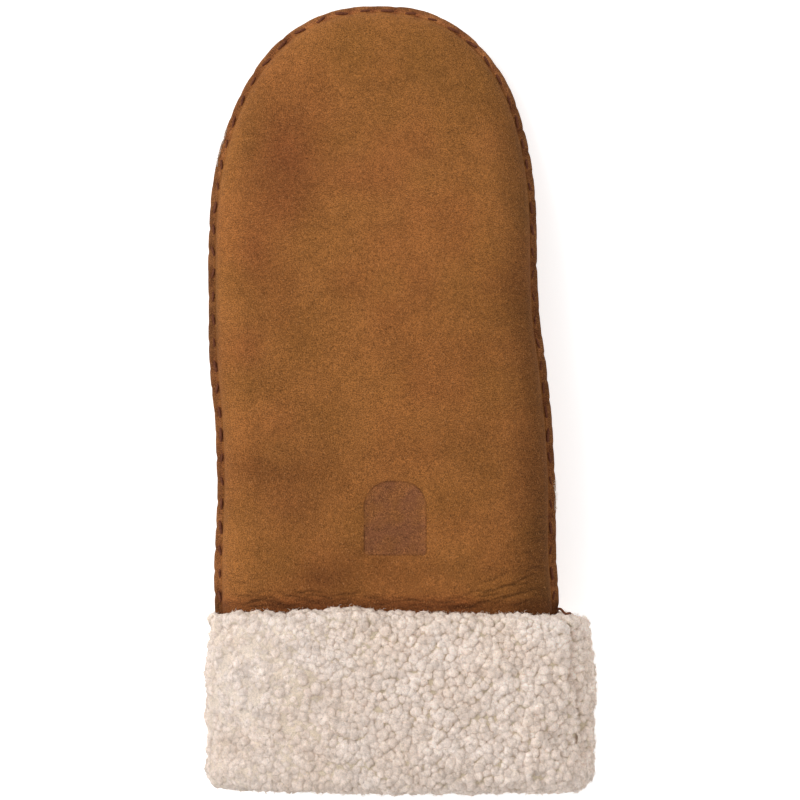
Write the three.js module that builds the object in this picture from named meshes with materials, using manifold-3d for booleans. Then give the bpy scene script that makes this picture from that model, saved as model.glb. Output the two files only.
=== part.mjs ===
// A sheepskin mitten for the left hand, lying palm down with its thumb tucked under the palm and its cuff
// turned back. Millimetres, +Z up from the surface that it lies on, +Y to the fingertips, +X to the thumb
// side. Every wall is worked out from one flattened bag: a stitched outline, and how far the back rises
// above it and the palm drops below it. The hide, the wool inside, the cuff and the thumb are layers at
// set depths from it.

import * as THREE from "three";
import { mergeVertices } from "three/addons/utils/BufferGeometryUtils.js";
import Module from "manifold-3d";

// The hide and its wool
const hide = 1.8;
const liningPile = 5;
const cuffPile = 8.5;
const cuffPileLeft = 7.8;
const cuffPileRight = 12.2;
const foldPile = 7;
const gap = 0.3;

// The hand bag
const seamHalfWidth = 56.1;
const straightLength = 178;
const tipLength = 82.3;
const tipRoundnessLeft = 2.1;
const tipRoundnessRight = 2.45;
const wallRoundness = 2.5;
const backRise = 16.5;
const palmDrop = 11.5;
const seamHeight = 24.7;
const seamLip = 2.7;

// The turned-back cuff
const cuffHeight = 54;
const cuffOverhang = 3.5;
const foldRoundness = 2.7;
const cuffClearance = 0.6;
const lipUnderCuff = 1.2;
const liningOverlap = 16;
const lockRelief = 1.8;

// The thumb, sewn to a hole in the palm and folded under it
const thumbTilt = 12;
const thumbWidth = 0.75 * seamHalfWidth;
const thumbDepth = 15.5;
const thumbReach = 56;
const thumbTipLength = 26;
const thumbBend = 1;
const thumbHoleLength = 46;
const thumbHoleWidth = 0.6 * seamHalfWidth;
const crotchAcross = 0.5 * seamHalfWidth;
const crotchAlong = 128;

// The pressed patch on the back
const patchWidth = 21;
const patchHeight = 25;
const patchCorner = 5;
const patchDepth = 0.5;
const patchAcross = 2.7;
const patchAlong = 88;

// How finely the faces are cut
const stationsPerRow = 2;
const tipRibs = 18;
const wallSteps = 6;
const cuffSteps = 44;
const lockColumns = 66;
const lockRows = 10;
const foldSteps = 4;
const thumbSides = 20;

const seamLength = straightLength + tipLength;
const cuffShare = cuffHeight / straightLength;
const cuffShareOfSeam = cuffHeight / seamLength;

// The stitched outline up to the rounded tip. at is a share of straightLength; half and shift are of
// seamHalfWidth.
const outlineRows = [
  { at: 0.0, half: 0.945, shift: 0.035 },
  { at: 0.94 * cuffShare, half: 0.996, shift: 0.002 },
  { at: 1.02 * cuffShare, half: 1.0, shift: 0.0 },
  { at: 0.43, half: 0.988, shift: -0.012 },
  { at: 0.55, half: 0.982, shift: -0.005 },
  { at: 0.66, half: 0.976, shift: -0.019 },
  { at: 0.77, half: 0.973, shift: -0.052 },
  { at: 0.89, half: 0.958, shift: -0.082 },
  { at: 1.0, half: 0.955, shift: -0.088 },
];

// The side view. at is a share of the whole seam's length; back is of backRise, palm of palmDrop and lift
// of seamHeight.
const sideRows = [
  { at: 0.0, back: 0.97, palm: 1.39, lift: 1.0 },
  { at: 0.96 * cuffShareOfSeam, back: 0.97, palm: 1.39, lift: 1.0 },
  { at: 1.13 * cuffShareOfSeam, back: 0.98, palm: 1.24, lift: 1.01 },
  { at: 0.3, back: 1.0, palm: 1.06, lift: 1.05 },
  { at: 0.38, back: 1.0, palm: 1.0, lift: 1.09 },
  { at: 0.46, back: 1.01, palm: 1.0, lift: 1.11 },
  { at: 0.54, back: 1.0, palm: 1.0, lift: 1.1 },
  { at: 0.62, back: 0.98, palm: 1.0, lift: 1.05 },
  { at: 0.69, back: 0.97, palm: 1.0, lift: 0.93 },
  { at: 0.77, back: 0.95, palm: 1.0, lift: 0.66 },
  { at: 0.84, back: 0.94, palm: 0.98, lift: 0.43 },
  { at: 0.92, back: 0.93, palm: 0.94, lift: 0.36 },
  { at: 1.0, back: 0.92, palm: 0.9, lift: 0.35 },
];

// Broad dents of the back. across and along place the middle, from the centre line and the fold; the rest
// are sizes.
const dentRows = [
  { across: -0.5, along: 0.6, wide: 0.34, long: 0.12, deep: 0.06 },
  { across: 0.45, along: 0.3, wide: 0.3, long: 0.05, deep: 0.05 },
  { across: -0.15, along: 0.253, wide: 0.5, long: 0.03, deep: 0.06 },
  { across: 0.1, along: 0.47, wide: 0.45, long: 0.1, deep: 0.03 },
];

// The cuff's cut edge waves along the body: turns is how many waves go round it, high their height.
const edgeWaves = [
  { turns: 3, high: 0.8, start: 0.4 },
  { turns: 7, high: 0.5, start: 2.1 },
];

const foldCentre = hide + gap / 2;
const wasm = await Module();
wasm.setup();

// A smooth curve through one column of a table, level where the column turns.
function tableValue(rows, column, at) {
  const last = rows.length - 1;
  const place = THREE.MathUtils.clamp(at, rows[0].at, rows[last].at);
  let i = 0;
  while (i < last - 1 && rows[i + 1].at < place) i++;
  const span = rows[i + 1].at - rows[i].at;
  const t = (place - rows[i].at) / span;
  const slope = (a, b) => (rows[b][column] - rows[a][column]) / (rows[b].at - rows[a].at);
  const tangent = (k) => {
    if (k === 0 || k === last) return 0;
    const before = slope(k - 1, k);
    const after = slope(k, k + 1);
    return before * after <= 0 ? 0 : (2 * before * after) / (before + after);
  };
  const rise = t * t * (3 - 2 * t);
  const lean = t * (1 - t) * (1 - t) * tangent(i) - t * t * (1 - t) * tangent(i + 1);
  return rows[i][column] * (1 - rise) + rows[i + 1][column] * rise + span * lean;
}

const sideValue = (column, y) => tableValue(sideRows, column, y / seamLength);
const outlineValue = (column, y) => seamHalfWidth * tableValue(outlineRows, column, y / straightLength);
const seamZ = (y) => seamHeight * sideValue("lift", y);
const riseOf = (side, y) => (side > 0 ? backRise * sideValue("back", y) : palmDrop * sideValue("palm", y));
const rounded = (value, roundness) => Math.sign(value) * Math.abs(value) ** (2 / roundness);

// How far the dents sink the back at a point, as a length.
function dentDepth(x, y) {
  return dentRows.reduce((sum, dent) => {
    const u = (x - dent.across * seamHalfWidth) / (dent.wide * seamHalfWidth);
    const v = (y - dent.along * seamLength) / (dent.long * seamLength);
    return sum + dent.deep * backRise * Math.exp(-u * u - v * v);
  }, 0);
}

// The distance from the middle of the rounded tip to the stitched outline, in one direction.
function tipRadius(angle) {
  const across = Math.abs(Math.cos(angle)) / outlineValue("half", straightLength);
  const along = Math.abs(Math.sin(angle)) / tipLength;
  const roundness = Math.cos(angle) < 0 ? tipRoundnessLeft : tipRoundnessRight;
  return (across ** roundness + along ** roundness) ** (-1 / roundness);
}

// Ribs run from the stitched outline to the middle of the bag: up the right side, round the tip and down
// the left side.
function makeRibs(startY) {
  const heights = [];
  for (let i = 0; i < outlineRows.length - 1; i++) {
    for (let k = 0; k < stationsPerRow; k++) {
      const share = THREE.MathUtils.lerp(outlineRows[i].at, outlineRows[i + 1].at, k / stationsPerRow);
      heights.push(share * straightLength);
    }
  }
  const kept = [startY, ...heights.filter((y) => y > startY + hide)];
  const sideRib = (y, hand) => {
    const reach = outlineValue("half", y);
    const middle = new THREE.Vector2(outlineValue("shift", y), y);
    return { seam: middle.clone().add(new THREE.Vector2(hand * reach, 0)), middle, reach };
  };
  const focus = new THREE.Vector2(outlineValue("shift", straightLength), straightLength);
  const ribs = kept.map((y) => sideRib(y, 1));
  for (let i = 0; i <= tipRibs; i++) {
    const angle = (Math.PI * i) / tipRibs;
    const reach = tipRadius(angle);
    const seam = new THREE.Vector2(Math.cos(angle), Math.sin(angle)).multiplyScalar(reach).add(focus);
    ribs.push({ seam, middle: focus.clone(), reach });
  }
  ribs.push(...kept.reverse().map((y) => sideRib(y, -1)));
  ribs.forEach((rib, i) => {
    const before = ribs[Math.max(i - 1, 0)].seam;
    const after = ribs[Math.min(i + 1, ribs.length - 1)].seam;
    const along = after.clone().sub(before).normalize();
    rib.outward = new THREE.Vector2(along.y, -along.x);
    if (i === 0 || i === ribs.length - 1) rib.outward.set(Math.sign(rib.seam.x - rib.middle.x), 0);
    rib.lip = THREE.MathUtils.lerp(lipUnderCuff, seamLip, lipShare(rib.seam.y));
  });
  return ribs;
}

// The seam's lip is trimmed where the cuff covers it.
function lipShare(y) {
  return THREE.MathUtils.smoothstep(y, cuffHeight - seamLip, cuffHeight);
}

// A point of a wall on one rib. turn runs from 0 at the seam to a quarter turn at the middle; depth is
// measured inwards from the suede face; start is the height above the seam's plane where the wall leaves
// it.
function wallPoint(rib, turn, side, depth, start) {
  const out = rounded(Math.cos(turn), wallRoundness);
  const up = rounded(Math.sin(turn), wallRoundness);
  const share = Math.max(1 - depth / rib.reach, 0) * out;
  const x = THREE.MathUtils.lerp(rib.middle.x, rib.seam.x, share);
  const y = THREE.MathUtils.lerp(rib.middle.y, rib.seam.y, share);
  const dent = side > 0 ? dentDepth(x, y) : 0;
  const z = seamZ(y) + side * (start + (riseOf(side, y) - dent - depth - start) * up);
  return new THREE.Vector3(x, y, Math.max(z, depth));
}

// One line of a wall, from the middle of the bag down to the seam.
function wallLine(rib, side, depth, start) {
  const line = [];
  for (let k = wallSteps; k >= 0; k--) {
    line.push(wallPoint(rib, (Math.PI / 2) * (k / wallSteps), side, depth, start));
  }
  return line;
}

// Turns a list of triangles, three points each, into one closed solid with its faces pointing out.
function solidFrom(points) {
  const loose = new THREE.BufferGeometry().setFromPoints(points);
  const merged = mergeVertices(loose, 1e-4);
  const index = Array.from(merged.index.array);
  const kept = [];
  for (let i = 0; i < index.length; i += 3) {
    const [a, b, c] = index.slice(i, i + 3);
    if (a !== b && b !== c && c !== a) kept.push(a, b, c);
  }
  const place = (k) => new THREE.Vector3().fromBufferAttribute(merged.attributes.position, k);
  let volume = 0;
  for (let i = 0; i < kept.length; i += 3) {
    volume += place(kept[i]).dot(place(kept[i + 1]).cross(place(kept[i + 2])));
  }
  if (volume < 0) kept.reverse();
  const vertProperties = new Float32Array(merged.attributes.position.array);
  return new wasm.Manifold(new wasm.Mesh({ numProp: 3, vertProperties, triVerts: new Uint32Array(kept) }));
}

// The two triangles of a four-sided patch.
const patch = (a, b, c, d) => [a, b, c, a, c, d];

// The patches between each pair of lines that follow one another.
function lineSheet(lines, turned) {
  const points = [];
  for (let i = 0; i + 1 < lines.length; i++) {
    for (let k = 0; k + 1 < lines[i].length; k++) {
      const [a, b, c, d] = [lines[i][k], lines[i][k + 1], lines[i + 1][k + 1], lines[i + 1][k]];
      points.push(...(turned ? patch(c, b, a, d) : patch(a, b, c, d)));
    }
  }
  return points;
}

// A wall between an outer and an inner sheet, closed at its two ends.
function wallSheets(outer, inner, turned) {
  const last = outer.length - 1;
  const points = [...lineSheet(outer, turned), ...lineSheet(inner, !turned)];
  points.push(...lineSheet([inner[0], outer[0]], turned), ...lineSheet([outer[last], inner[last]], turned));
  return points;
}

// A solid ring: closed sections that follow one another all the way round. Its patches are halved this way
// and that by turns, so that every second point stands clear of its neighbours.
function ringFrom(sections) {
  const points = [];
  for (let i = 0; i < sections.length; i++) {
    const [one, next] = [sections[i], sections[(i + 1) % sections.length]];
    for (let k = 0; k < one.length; k++) {
      const after = (k + 1) % one.length;
      const [a, b, c, d] = [one[k], one[after], next[after], next[k]];
      points.push(...((i + k) % 2 ? patch(a, b, c, d) : patch(b, c, d, a)));
    }
  }
  return solidFrom(points);
}

function geometryFrom(solid) {
  const mesh = solid.getMesh();
  const places = new Float32Array(mesh.numVert * 3);
  for (let i = 0; i < mesh.numVert; i++) {
    places.set(mesh.vertProperties.subarray(i * mesh.numProp, i * mesh.numProp + 3), i * 3);
  }
  const geometry = new THREE.BufferGeometry();
  geometry.setAttribute("position", new THREE.BufferAttribute(places, 3));
  geometry.setIndex(new THREE.BufferAttribute(new Uint32Array(mesh.triVerts), 1));
  geometry.computeVertexNormals();
  return geometry;
}

// A closed three.js geometry as a solid that can cut and be cut.
function solidOfGeometry(geometry) {
  const loose = geometry.index ? geometry.toNonIndexed() : geometry;
  const points = [];
  for (let i = 0; i < loose.attributes.position.count; i++) {
    points.push(new THREE.Vector3().fromBufferAttribute(loose.attributes.position, i));
  }
  return solidFrom(points);
}

// Half of the bag: the hide of the back or the palm, with the lip that stands out past the stitches.
function makePanel(side, outerDepth = 0, innerDepth = hide) {
  const ribs = makeRibs(foldCentre + gap);
  const lipTop = gap / 2 + innerDepth - outerDepth;
  const withLip = (rib, line, start) => {
    const edge = rib.seam.clone().addScaledVector(rib.outward, rib.lip);
    return [...line, new THREE.Vector3(edge.x, edge.y, seamZ(edge.y) + side * start)];
  };
  const outer = ribs.map((rib) => withLip(rib, wallLine(rib, side, outerDepth, lipTop), lipTop));
  const inner = ribs.map((rib) => withLip(rib, wallLine(rib, side, innerDepth, gap / 2), gap / 2));
  const edge = (lines) => lines.map((line) => line[line.length - 1]);
  return solidFrom([...wallSheets(outer, inner, false), ...lineSheet([edge(inner), edge(outer)], false)]);
}

// The wool inside the hand: one bag from just inside the mouth to the tip.
function makeLining() {
  const ribs = makeRibs(liningOverlap + gap);
  const face = hide + gap;
  const half = (side) => {
    const lines = (depth) => ribs.map((rib) => wallLine(rib, side, depth, 0));
    return wallSheets(lines(face), lines(face + liningPile), side < 0);
  };
  return solidFrom([...half(1), ...half(-1)]);
}

// A point of the loops round the mouth, at height y above the fold: the body's suede face, the inner face
// of the turned-back hide, and the upright face of the cuff's wool. outset is measured outwards from the
// first two.
function bodyLoop(angle, y, outset) {
  const out = rounded(Math.cos(angle), wallRoundness);
  const up = rounded(Math.sin(angle), wallRoundness);
  const x = outlineValue("shift", y) + (outlineValue("half", y) + outset) * out;
  return new THREE.Vector3(x, y, seamZ(y) + (riseOf(up, y) + outset) * up);
}

function cuffLoop(angle, y, outset) {
  const out = rounded(Math.cos(angle), wallRoundness);
  const up = rounded(Math.sin(angle), wallRoundness);
  const half = outlineValue("half", y) + lipUnderCuff + cuffClearance;
  const x = outlineValue("shift", y) + (half + outset) * out;
  return new THREE.Vector3(x, y, seamZ(y) + (riseOf(up, y) + gap + outset) * up);
}

const woolLoop = (angle, y, outset) => cuffLoop(angle, 0, outset).setY(y);

// Angles that set their points on the cuff's loop about the same distance apart.
function evenAngles(count) {
  const fine = 20 * count;
  const lengths = [0];
  for (let i = 1; i <= fine; i++) {
    const before = cuffLoop((2 * Math.PI * (i - 1)) / fine, 0, 0);
    lengths.push(lengths[i - 1] + cuffLoop((2 * Math.PI * i) / fine, 0, 0).distanceTo(before));
  }
  const angleAt = (length) =>
    (2 * Math.PI * lengths.findIndex((reached) => reached >= length - gap / 2)) / fine;
  return Array.from({ length: count }, (_, i) => angleAt((lengths[fine] * i) / count));
}

// The fold, from the body's wall at share 0 round to the cuff's at share 1, with its deepest point at
// -depth.
function foldPoint(angle, share, bodyOutset, cuffOutset, depth) {
  const y = foldCentre - (foldCentre + depth) * rounded(Math.sin(Math.PI * share), foldRoundness);
  const blend = (1 - rounded(Math.cos(Math.PI * share), foldRoundness)) / 2;
  return bodyLoop(angle, y, bodyOutset).lerp(cuffLoop(angle, y, cuffOutset), blend);
}

const foldLine = (angle, bodyOutset, cuffOutset, depth, steps) =>
  Array.from({ length: steps + 1 }, (_, i) => foldPoint(angle, i / steps, bodyOutset, cuffOutset, depth));

const edgeWave = (angle) =>
  edgeWaves.reduce((sum, wave) => sum + wave.high * Math.sin(wave.turns * angle + wave.start), 0);

// The turned-back hide: a J in section, with its short leg meeting the panels' lower edges.
function makeCuffSkin() {
  const top = cuffHeight - cuffOverhang;
  const sections = evenAngles(cuffSteps).map((angle) => {
    const inside = foldLine(angle, 0, 0, gap / 2 - foldCentre, foldSteps).reverse();
    const outside = foldLine(angle, -hide, hide, 0, foldSteps);
    return [cuffLoop(angle, top, 0), ...inside, ...outside, cuffLoop(angle, top, hide)];
  });
  return ringFrom(sections);
}

// The wool's thickness round the cuff: pressed thin on the left, full on the right.
function cuffPileAt(angle) {
  const across = Math.cos(angle);
  const side = across < 0 ? cuffPileLeft : cuffPileRight;
  return THREE.MathUtils.lerp(cuffPile, side, across * across);
}

// The wool of the cuff: a U in section over the turned-back hide, round the fold and a little way inside.
// Its outer face stands in locks, high and low by turns.
function makeCuffWool() {
  const face = hide + gap;
  const insideFace = -face - 2 * gap;
  const onFloor = (point) => point.setZ(Math.max(point.z, 0));
  const sections = evenAngles(lockColumns).map((angle, i) => {
    const pile = cuffPileAt(angle);
    const top = cuffHeight + edgeWave(angle);
    const skinTop = cuffHeight - cuffOverhang + gap;
    const overLip = THREE.MathUtils.lerp(2 * gap, seamLip - lipUnderCuff, Math.cos(angle) ** 8);
    const low = () => ((section.length + i) % 2 ? lockRelief : 0);
    const section = foldLine(angle, insideFace, face, gap, foldSteps);
    section.push(cuffLoop(angle, skinTop, face), cuffLoop(angle, skinTop, gap));
    section.push(cuffLoop(angle, top, overLip));
    for (let row = lockRows; row >= 0; row--) {
      const share = row / lockRows;
      const y = THREE.MathUtils.lerp(foldCentre, top - hide, share);
      const shoulder = share === 1 ? pile / 4 : 0;
      section.push(onFloor(woolLoop(angle, y, face + pile - shoulder - low())));
    }
    for (let row = 1; row <= foldSteps; row++) {
      const share = 1 - row / foldSteps;
      const sunk = row < foldSteps ? low() : 0;
      const inside = -face - liningPile + sunk;
      section.push(onFloor(foldPoint(angle, share, inside, face + pile - sunk, foldPile - sunk)));
    }
    section.push(bodyLoop(angle, liningOverlap, -face - liningPile));
    section.push(bodyLoop(angle, liningOverlap, insideFace));
    return section;
  });
  return ringFrom(sections);
}

// The height of the palm's suede face over a point of the surface below it.
function palmUnder(x, y) {
  const middle = outlineValue("shift", Math.min(y, straightLength));
  const angle = Math.atan2(y - straightLength, x - middle);
  const share =
    y > straightLength
      ? Math.hypot(x - middle, y - straightLength) / tipRadius(angle)
      : Math.abs(x - middle) / outlineValue("half", y);
  const drop = (1 - Math.min(share, 1) ** wallRoundness) ** (1 / wallRoundness);
  return Math.max(seamZ(y) - riseOf(-1, y) * drop, 0);
}

const thumbTurn = THREE.MathUtils.degToRad(thumbTilt);
const thumbAlong = new THREE.Vector2(0, 1).rotateAround(new THREE.Vector2(), thumbTurn);
const thumbAcross = new THREE.Vector2(thumbAlong.y, -thumbAlong.x);
const thumbCrotch = new THREE.Vector2(crotchAcross, crotchAlong);

// A point of the thumb's wall. bend runs from 0 in the plane of the hole to 1 where the thumb runs level;
// reach is how far past that it goes; angle goes round the section, from the side that touches the palm.
function thumbPoint(bend, reach, angle, depth) {
  const tip = Math.max(reach - (thumbReach - thumbTipLength), 0) / thumbTipLength;
  const taper = Math.sqrt(Math.max(1 - tip * tip, 0));
  const ease = THREE.MathUtils.smoothstep(bend, 0, 1);
  const high = THREE.MathUtils.lerp(thumbHoleLength, thumbDepth, ease);
  const wide = THREE.MathUtils.lerp(thumbHoleWidth, thumbWidth, ease);
  const tall = Math.max((high / 2) * taper - depth * Math.min(taper * 2, 1), 0);
  const broad = Math.max((wide / 2) * taper - depth * Math.min(taper * 2, 1), 0);
  const radius = thumbBend + high / 2 - tall * rounded(Math.cos(angle), wallRoundness);
  const across = broad * rounded(Math.sin(angle), wallRoundness);
  const along = reach - (tip > 0 ? depth * tip : 0) - radius * Math.cos((Math.PI / 2) * bend);
  const place = thumbCrotch.clone().addScaledVector(thumbAlong, along).addScaledVector(thumbAcross, across);
  const below = palmUnder(place.x, place.y) + hide * (1 - ease);
  const z = below - radius * Math.sin((Math.PI / 2) * bend);
  return new THREE.Vector3(place.x, place.y, Math.max(z, depth));
}

const thumbBends = [0, 0.15, 0.32, 0.5, 0.68, 0.84, 1];
const thumbStations = [0.25, 0.5, 0.6, 0.7, 0.8, 0.88, 0.94, 0.98, 1];

// The thumb: a tube with a closed tip, open where it meets the hole in the palm.
function makeThumb() {
  const lineAt = (angle, depth) => [
    ...thumbBends.map((bend) => thumbPoint(bend, 0, angle, depth)),
    ...thumbStations.map((share) => thumbPoint(1, share * thumbReach, angle, depth)),
  ];
  const angleOf = (i) => (2 * Math.PI * (i % thumbSides)) / thumbSides;
  const around = (depth) => Array.from({ length: thumbSides + 1 }, (_, i) => lineAt(angleOf(i), depth));
  const outer = around(0);
  const inner = around(hide);
  const rim = (lines) => lines.map((line) => line[0]);
  const points = [...lineSheet(outer, false), ...lineSheet(inner, true)];
  points.push(...lineSheet([rim(outer), rim(inner)], false));
  return solidFrom(points);
}

// A prism over an outline, from one height to another.
function prismFrom(outline, low, high) {
  const settings = { depth: high - low, bevelEnabled: false };
  const geometry = new THREE.ExtrudeGeometry(new THREE.Shape(outline), settings);
  return solidOfGeometry(geometry.translate(0, 0, low));
}

// The hole that the thumb is sewn to, through the palm and the wool above it.
function makeThumbHole() {
  const outline = [];
  for (let i = 0; i < thumbSides; i++) {
    const place = thumbPoint(0, 0, (2 * Math.PI * i) / thumbSides, hide);
    outline.push(new THREE.Vector2(place.x, place.y));
  }
  const middle = crotchAlong - thumbHoleLength / 2;
  return prismFrom(outline, 0, seamZ(middle));
}

// A plain patch pressed into the back: only the suede face sinks, by patchDepth.
function makePatchCut() {
  const right = patchWidth / 2;
  const top = patchHeight / 2;
  const shape = new THREE.Shape();
  const corners = [
    { x: right, y: top, start: 0 },
    { x: -right, y: top, start: 0.5 },
    { x: -right, y: -top, start: 1 },
    { x: right, y: -top, start: 1.5 },
  ];
  for (const corner of corners) {
    const x = corner.x - Math.sign(corner.x) * patchCorner + patchAcross;
    const y = corner.y - Math.sign(corner.y) * patchCorner + patchAlong;
    shape.absarc(x, y, patchCorner, Math.PI * corner.start, Math.PI * (corner.start + 0.5), false);
  }
  const prism = prismFrom(shape.getPoints(4), seamZ(patchAlong) + hide, 4 * backRise);
  return makePanel(1, -hide, patchDepth).intersect(prism);
}

// The looks of the two faces of the skin.
const suede = { color: 0x96602f, roughness: 0.95, metalness: 0 };
const wool = { color: 0xe4d6c8, roughness: 1, metalness: 0 };

function addPiece(group, name, solid, look) {
  const piece = new THREE.Mesh(geometryFrom(solid), new THREE.MeshStandardMaterial(look));
  piece.name = name;
  group.add(piece);
}

const thumbHole = makeThumbHole();
const mitten = new THREE.Group();
addPiece(mitten, "back_panel", makePanel(1).subtract(makePatchCut()), suede);
addPiece(mitten, "palm_panel", makePanel(-1).subtract(thumbHole), suede);
addPiece(mitten, "thumb", makeThumb().subtract(makePanel(-1, -gap, 4 * hide)), suede);
addPiece(mitten, "wool_lining", makeLining().subtract(thumbHole), wool);
addPiece(mitten, "cuff_skin", makeCuffSkin(), suede);
addPiece(mitten, "cuff_wool", makeCuffWool(), wool);

// The origin is under the middle of the mitten's box, on the surface that it lies on.
const box = new THREE.Box3().setFromObject(mitten);
const middle = box.getCenter(new THREE.Vector3());
mitten.position.set(-middle.x, -middle.y, -box.min.z);

export default mitten;
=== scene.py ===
"""A sheepskin mitten for the left hand, suede outside and wool inside, its cuff turned back to show the wool.
Sizes are in millimetres, +Y is to the fingertips and the cuff's fold is at y = 0, until a mesh is placed."""

import math

import bmesh
import bpy
import numpy as np
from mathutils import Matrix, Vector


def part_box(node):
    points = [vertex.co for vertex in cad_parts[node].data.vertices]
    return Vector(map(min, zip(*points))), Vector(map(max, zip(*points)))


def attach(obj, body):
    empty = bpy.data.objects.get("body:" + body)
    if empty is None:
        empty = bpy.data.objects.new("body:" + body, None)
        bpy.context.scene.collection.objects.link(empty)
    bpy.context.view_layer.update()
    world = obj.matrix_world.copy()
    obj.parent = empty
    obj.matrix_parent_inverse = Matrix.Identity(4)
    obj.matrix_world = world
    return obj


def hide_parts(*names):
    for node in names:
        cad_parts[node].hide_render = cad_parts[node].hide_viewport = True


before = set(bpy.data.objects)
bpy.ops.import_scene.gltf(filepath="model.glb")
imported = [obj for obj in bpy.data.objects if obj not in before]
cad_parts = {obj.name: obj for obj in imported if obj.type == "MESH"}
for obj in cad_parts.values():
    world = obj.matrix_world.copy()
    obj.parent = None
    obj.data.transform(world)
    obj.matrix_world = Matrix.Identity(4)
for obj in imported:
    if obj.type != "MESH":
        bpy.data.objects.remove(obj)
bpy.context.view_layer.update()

# Hide panels. The back and the palm are cut from one sheepskin, wool side in, and meet in a seam that stands
# outside, its raw edges showing. The back is crowned over the hand, dented where it has been worn, creased
# above the cuff, and has a plain patch pressed into it.
HIDE = 1.8
GAP = 0.3
SEAM_HALF_WIDTH = 56.1
STRAIGHT_LENGTH = 178
TIP_LENGTH = 82.3
TIP_ROUNDNESS_LEFT = 2.22
TIP_ROUNDNESS_RIGHT = 2.48
WALL_ROUNDNESS = 2.5
BACK_RISE = 16.5
PALM_DROP = 11.5
SEAM_HEIGHT = 24.7
SEAM_LIP = 2.7
LIP_UNDER_CUFF = 1.2
CUFF_HEIGHT = 54
STITCH_PITCH = 7.8
SEAM_LENGTH = STRAIGHT_LENGTH + TIP_LENGTH
FOLD_CENTRE = HIDE + GAP / 2
TIP_RIBS = 170
PALM_RIB_STEP = 2
FLAT_SHARE = 0.86
FLAT_STEPS = 44
EDGE_STEPS = 15
# One millimetre, for the materials and node trees, which measure in metres.
MM = 0.001

# Ribs cross the bag in these steps, from the mouth to the end of the straight part, closer at the creases.
RIB_ROWS = [
    {"to": 55.5, "step": 1.1},
    {"to": 66.5, "step": 0.38},
    {"to": 99, "step": 0.75},
    {"to": STRAIGHT_LENGTH, "step": 1.1},
]
# at is a share of STRAIGHT_LENGTH; half and shift are shares of SEAM_HALF_WIDTH.
OUTLINE_ROWS = [
    {"at": 0.0, "half": 0.945, "shift": 0.035},
    {"at": 0.285, "half": 0.996, "shift": 0.002},
    {"at": 0.31, "half": 1.0, "shift": 0.0},
    {"at": 0.43, "half": 0.988, "shift": -0.012},
    {"at": 0.55, "half": 0.982, "shift": -0.005},
    {"at": 0.66, "half": 0.976, "shift": -0.019},
    {"at": 0.77, "half": 0.973, "shift": -0.052},
    {"at": 0.89, "half": 0.958, "shift": -0.082},
    {"at": 1.0, "half": 0.955, "shift": -0.088},
]
# at is a share of SEAM_LENGTH; back is of BACK_RISE, palm of PALM_DROP and lift of SEAM_HEIGHT.
SIDE_ROWS = [
    {"at": 0.0, "back": 0.97, "palm": 1.39, "lift": 1.0},
    {"at": 0.2, "back": 0.97, "palm": 1.39, "lift": 1.0},
    {"at": 0.235, "back": 0.98, "palm": 1.24, "lift": 1.01},
    {"at": 0.3, "back": 1.0, "palm": 1.06, "lift": 1.05},
    {"at": 0.38, "back": 1.0, "palm": 1.0, "lift": 1.09},
    {"at": 0.46, "back": 1.01, "palm": 1.0, "lift": 1.11},
    {"at": 0.54, "back": 1.0, "palm": 1.0, "lift": 1.1},
    {"at": 0.62, "back": 0.98, "palm": 1.0, "lift": 1.05},
    {"at": 0.69, "back": 0.97, "palm": 1.0, "lift": 0.93},
    {"at": 0.77, "back": 0.95, "palm": 1.0, "lift": 0.66},
    {"at": 0.84, "back": 0.94, "palm": 0.98, "lift": 0.43},
    {"at": 0.92, "back": 0.93, "palm": 0.94, "lift": 0.36},
    {"at": 1.0, "back": 0.92, "palm": 0.9, "lift": 0.35},
]
# Broad dents. across and along place the middle and wide and long size it, as shares of SEAM_HALF_WIDTH and
# SEAM_LENGTH; deep is a share of BACK_RISE.
DENT_ROWS = [
    {"across": -0.5, "along": 0.6, "wide": 0.34, "long": 0.12, "deep": 0.06},
    {"across": 0.45, "along": 0.3, "wide": 0.3, "long": 0.05, "deep": 0.05},
    {"across": -0.15, "along": 0.253, "wide": 0.5, "long": 0.03, "deep": 0.06},
    {"across": 0.1, "along": 0.47, "wide": 0.45, "long": 0.1, "deep": 0.03},
]
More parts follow.
